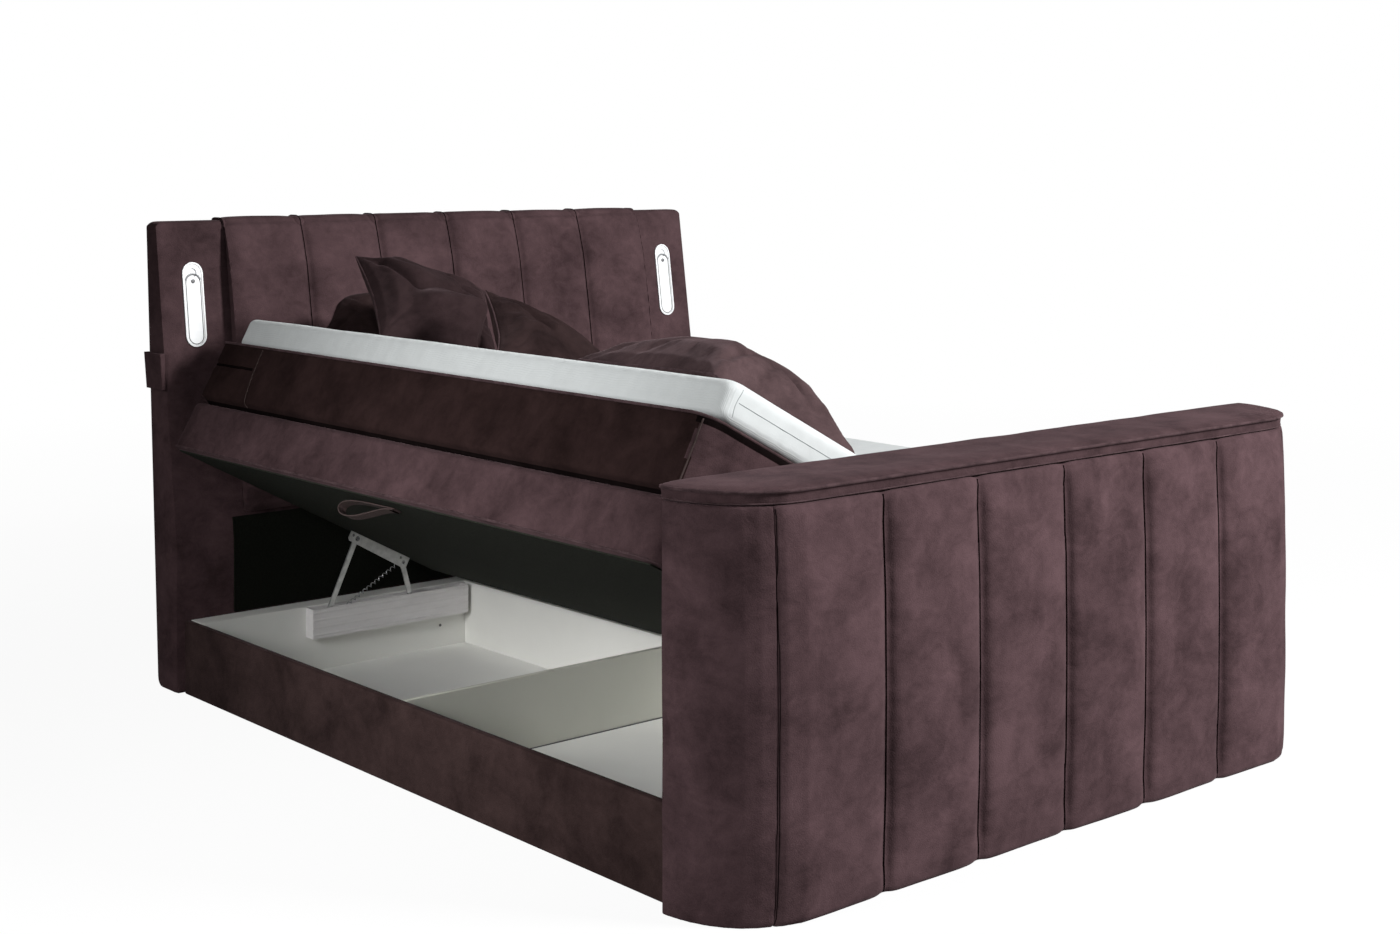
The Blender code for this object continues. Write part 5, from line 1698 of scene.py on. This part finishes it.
@dataclass
class Studio:
    """Pale floor, soft light and the camera."""

    camera_at: Point = (-3.50781, -4.0949, 1.4933)
    camera_turn: float = -40.78
    lens: float = 52.08
    shift_up: float = -0.2244
    floor_half: float = 14.0
    floor_tone: float = 0.90
    background_strength: float = 1.0
    floor_bounce: float = 0.35
    floor_glow: float = 0.94
    fade_from: float = 2.0
    fade_to: float = 7.0
    fill_strength: float = 0.12
    key_watts: float = 800.0
    left_watts: float = 12.5

    def build(self) -> None:
        """Make the stage, the lights and the camera."""
        scene = bpy.context.scene
        scene.view_settings.view_transform = "Standard"
        self.build_floor()
        self.build_world()
        self.build_lamps()
        self.build_camera()

    def build_floor(self) -> None:
        """A wide plain floor that looks white to the camera and keeps the bed's shadow."""
        bpy.ops.object.select_all(action="DESELECT")
        bpy.ops.mesh.primitive_plane_add(size=2 * self.floor_half, location=(0.0, 0.0, 0.0))
        floor = bpy.context.active_object
        floor.name = "floor"
        settle_transform(floor)
        material = bpy.data.materials.new("studio_floor")
        material.use_nodes = True
        tree = material.node_tree
        shader = tree.nodes["Principled BSDF"]
        tone = self.floor_bounce
        for name, value in (("Base Color", (tone, tone, tone, 1.0)), ("Roughness", 0.9), ("Specular IOR Level", 0.1)):
            shader.inputs[name].default_value = value
        seen = wired(tree, "LightPath", "Is Camera Ray", {})
        tree.links.new(wired(tree, "MapRange", "Result", {"To Min": tone, "To Max": self.floor_tone, "Value": seen}),
                       shader.inputs["Base Color"])
        place = wired(tree, "TexCoord", "Object", {})
        away = wired(tree, "VectorMath", "Value", {0: place}, operation="LENGTH")
        fade = wired(tree, "MapRange", "Result", {"From Min": self.fade_from, "From Max": self.fade_to,
                                                  "To Min": self.floor_glow, "To Max": 1.0, "Value": away})
        share = wired(tree, "Math", 0, {0: seen, 1: fade}, operation="MULTIPLY")
        glow = wired(tree, "Emission", "Emission", {"Color": WHITE, "Strength": 1.0})
        mix = wired(tree, "MixShader", "Shader", {"Fac": share, 1: shader.outputs["BSDF"], 2: glow})
        tree.links.new(mix, tree.nodes["Material Output"].inputs["Surface"])
        floor.data.materials.append(material)

    def build_world(self) -> None:
        """White to the camera and in reflections, softer as light."""
        world = bpy.data.worlds.new("studio")
        world.use_nodes = True
        tree = world.node_tree
        seen = tree.nodes["Background"]
        seen.inputs["Color"].default_value = WHITE
        seen.inputs["Strength"].default_value = self.background_strength
        fill = wired(tree, "Background", "Background", {"Color": WHITE, "Strength": self.fill_strength})
        direct = wired(tree, "LightPath", "Is Camera Ray", {})
        for ray in ("Is Glossy Ray", "Is Transmission Ray"):
            direct = wired(tree, "Math", 0, {0: direct, 1: wired(tree, "LightPath", ray, {})}, operation="MAXIMUM")
        mix = wired(tree, "MixShader", "Shader", {"Fac": direct, 1: fill, 2: seen.outputs["Background"]})
        tree.links.new(mix, tree.nodes["World Output"].inputs["Surface"])
        bpy.context.scene.world = world

    def add_area(self, name: str, place: Point, aim: Point, size: float, watts: float,
                 spread: float = 180.0) -> None:
        """A square soft lamp.

        Args:
            name: Its name.
            place: Where it stands.
            aim: What it points at.
            size: Side of the square.
            watts: Its power.
            spread: Angle of its beam, in degrees.
        """
        light = bpy.data.lights.new(name, "AREA")
        light.spread = math.radians(spread)
        light.size = size
        light.energy = watts
        lamp = bpy.data.objects.new(name, light)
        lamp.location = place
        lamp.rotation_euler = (Vector(aim) - Vector(place)).to_track_quat("-Z", "Y").to_euler()
        bpy.context.scene.collection.objects.link(lamp)

    def build_lamps(self) -> None:
        """A key high at the front right, and a weaker one at the left that reaches into the storage boxes."""
        self.add_area("key", (3.0, -5.6, 4.4), (0.0, 0.0, 0.5), 1.6, self.key_watts)
        self.add_area("left", (-3.3, -0.6, 1.5), (-0.3, -0.12, 0.15), 1.2, self.left_watts, 66.0)

    def build_camera(self) -> None:
        """The camera at the photograph's viewing angle."""
        data = bpy.data.cameras.new("camera")
        data.lens = self.lens
        data.sensor_width = 36.0
        data.shift_y = self.shift_up
        data.clip_end = 60.0
        camera = bpy.data.objects.new("camera", data)
        camera.location = self.camera_at
        camera.rotation_euler = Euler((math.radians(90.0), 0.0, math.radians(self.camera_turn)))
        bpy.context.scene.collection.objects.link(camera)
        bpy.context.scene.camera = camera


CUSHIONS = (
    Cushion("cushion_corner", 0.280, 0.260, (50.0, -8.0, -10.0), PLUM_CUSHION_SHADED,
            creased((0.0, -0.8, 0.1, 0.9, 0.012, 0.05), (0.45, -0.8, 0.35, 0.8, -0.016, 0.012)),
            ((-0.95, -1.0, 0.0), (0.80, -1.0, 0.0), (-0.48, 0.22, 0.0), (0.66, 0.40, 0.0)),
            bow=0.45, cap=0.014, seed=2.0),
    Cushion("cushion_upright", 0.430, 0.430, (40.0, -10.0, -14.0), PLUM_CUSHION,
            creased((-1.0, 1.0, -0.77, 0.69, -0.014, 0.010), (-0.77, 0.69, -0.35, -0.08, -0.017, 0.011),
             (-0.55, 0.75, -0.15, 0.05, 0.010, 0.040), (-0.20, -0.45, 0.55, -0.30, 0.045, 0.055),
             (-0.30, 0.02, 0.40, 0.20, -0.016, 0.022), (0.40, 0.45, 0.85, 0.20, -0.022, 0.020),
             (0.20, 0.60, 0.90, 0.55, -0.008, 0.010), (0.72, -0.10, 0.66, -0.95, -0.045, 0.026)),
            ((-0.85, -1.0, 0.0), (0.80, -0.92, 0.0), (-1.02, 0.73, 0.0), (0.85, 0.76, 0.0)),
            seed=4.0),
    Cushion("cushion_leaning", 0.400, 0.400, (34.0, 4.0, -12.0), PLUM_CUSHION_SHADED,
            creased((-0.95, 0.95, 0.0, 0.45, -0.010, 0.012), (-0.9, 0.8, -0.3, 0.1, -0.010, 0.014),
             (-0.5, -0.1, -0.2, 0.2, 0.008, 0.016), (-0.7, 0.3, 0.2, -0.4, -0.008, 0.030)),
            ((-1.08, -1.0, 0.0), (1.0, -1.0, 0.0), (-1.09, 0.70, 0.0), (0.92, 0.62, 0.0)), seed=6.0),
    # Painted light: the lighter copy of the cushion velvet.
    Cushion("cushion_large", 0.440, 0.720, (3.0, 0.0, -15.0), PLUM_CUSHION_LIT,
            creased((-0.95, 0.85, -0.50, 0.35, -0.008, 0.010), (-0.80, 0.95, -0.30, 0.55, -0.008, 0.010),
             (-0.95, 0.45, -0.55, 0.05, -0.007, 0.012), (-0.75, -0.80, -0.05, -0.35, -0.014, 0.018),
             (-0.35, -0.85, 0.05, -0.55, -0.008, 0.012), (0.00, -0.30, 0.30, -0.75, -0.014, 0.022),
             (0.55, -0.60, 0.95, -0.95, -0.012, 0.014), (0.30, -0.85, 0.75, -0.85, -0.008, 0.012)),
            ((-0.90, -1.04, -0.050), (1.10, -0.84, -0.060), (-1.02, 0.90, -0.040), (1.0, 1.0, -0.040)),
            seed=8.0),
)


def main() -> None:
    """Build the studio and every sub-assembly in order."""
    logging.basicConfig(level=logging.INFO, format="%(name)s: %(message)s")
    Studio().build()
    Base().build()
    for side, seed in ((Side.LEFT, 1.7), (Side.RIGHT, 8.9)):
        LiftingHalf(side, seed).build()
    LiftFittings().build()
    Headboard().build()
    Footboard().build()
    for cushion in CUSHIONS:
        cushion.build()


if __name__ == "__main__":
    main()
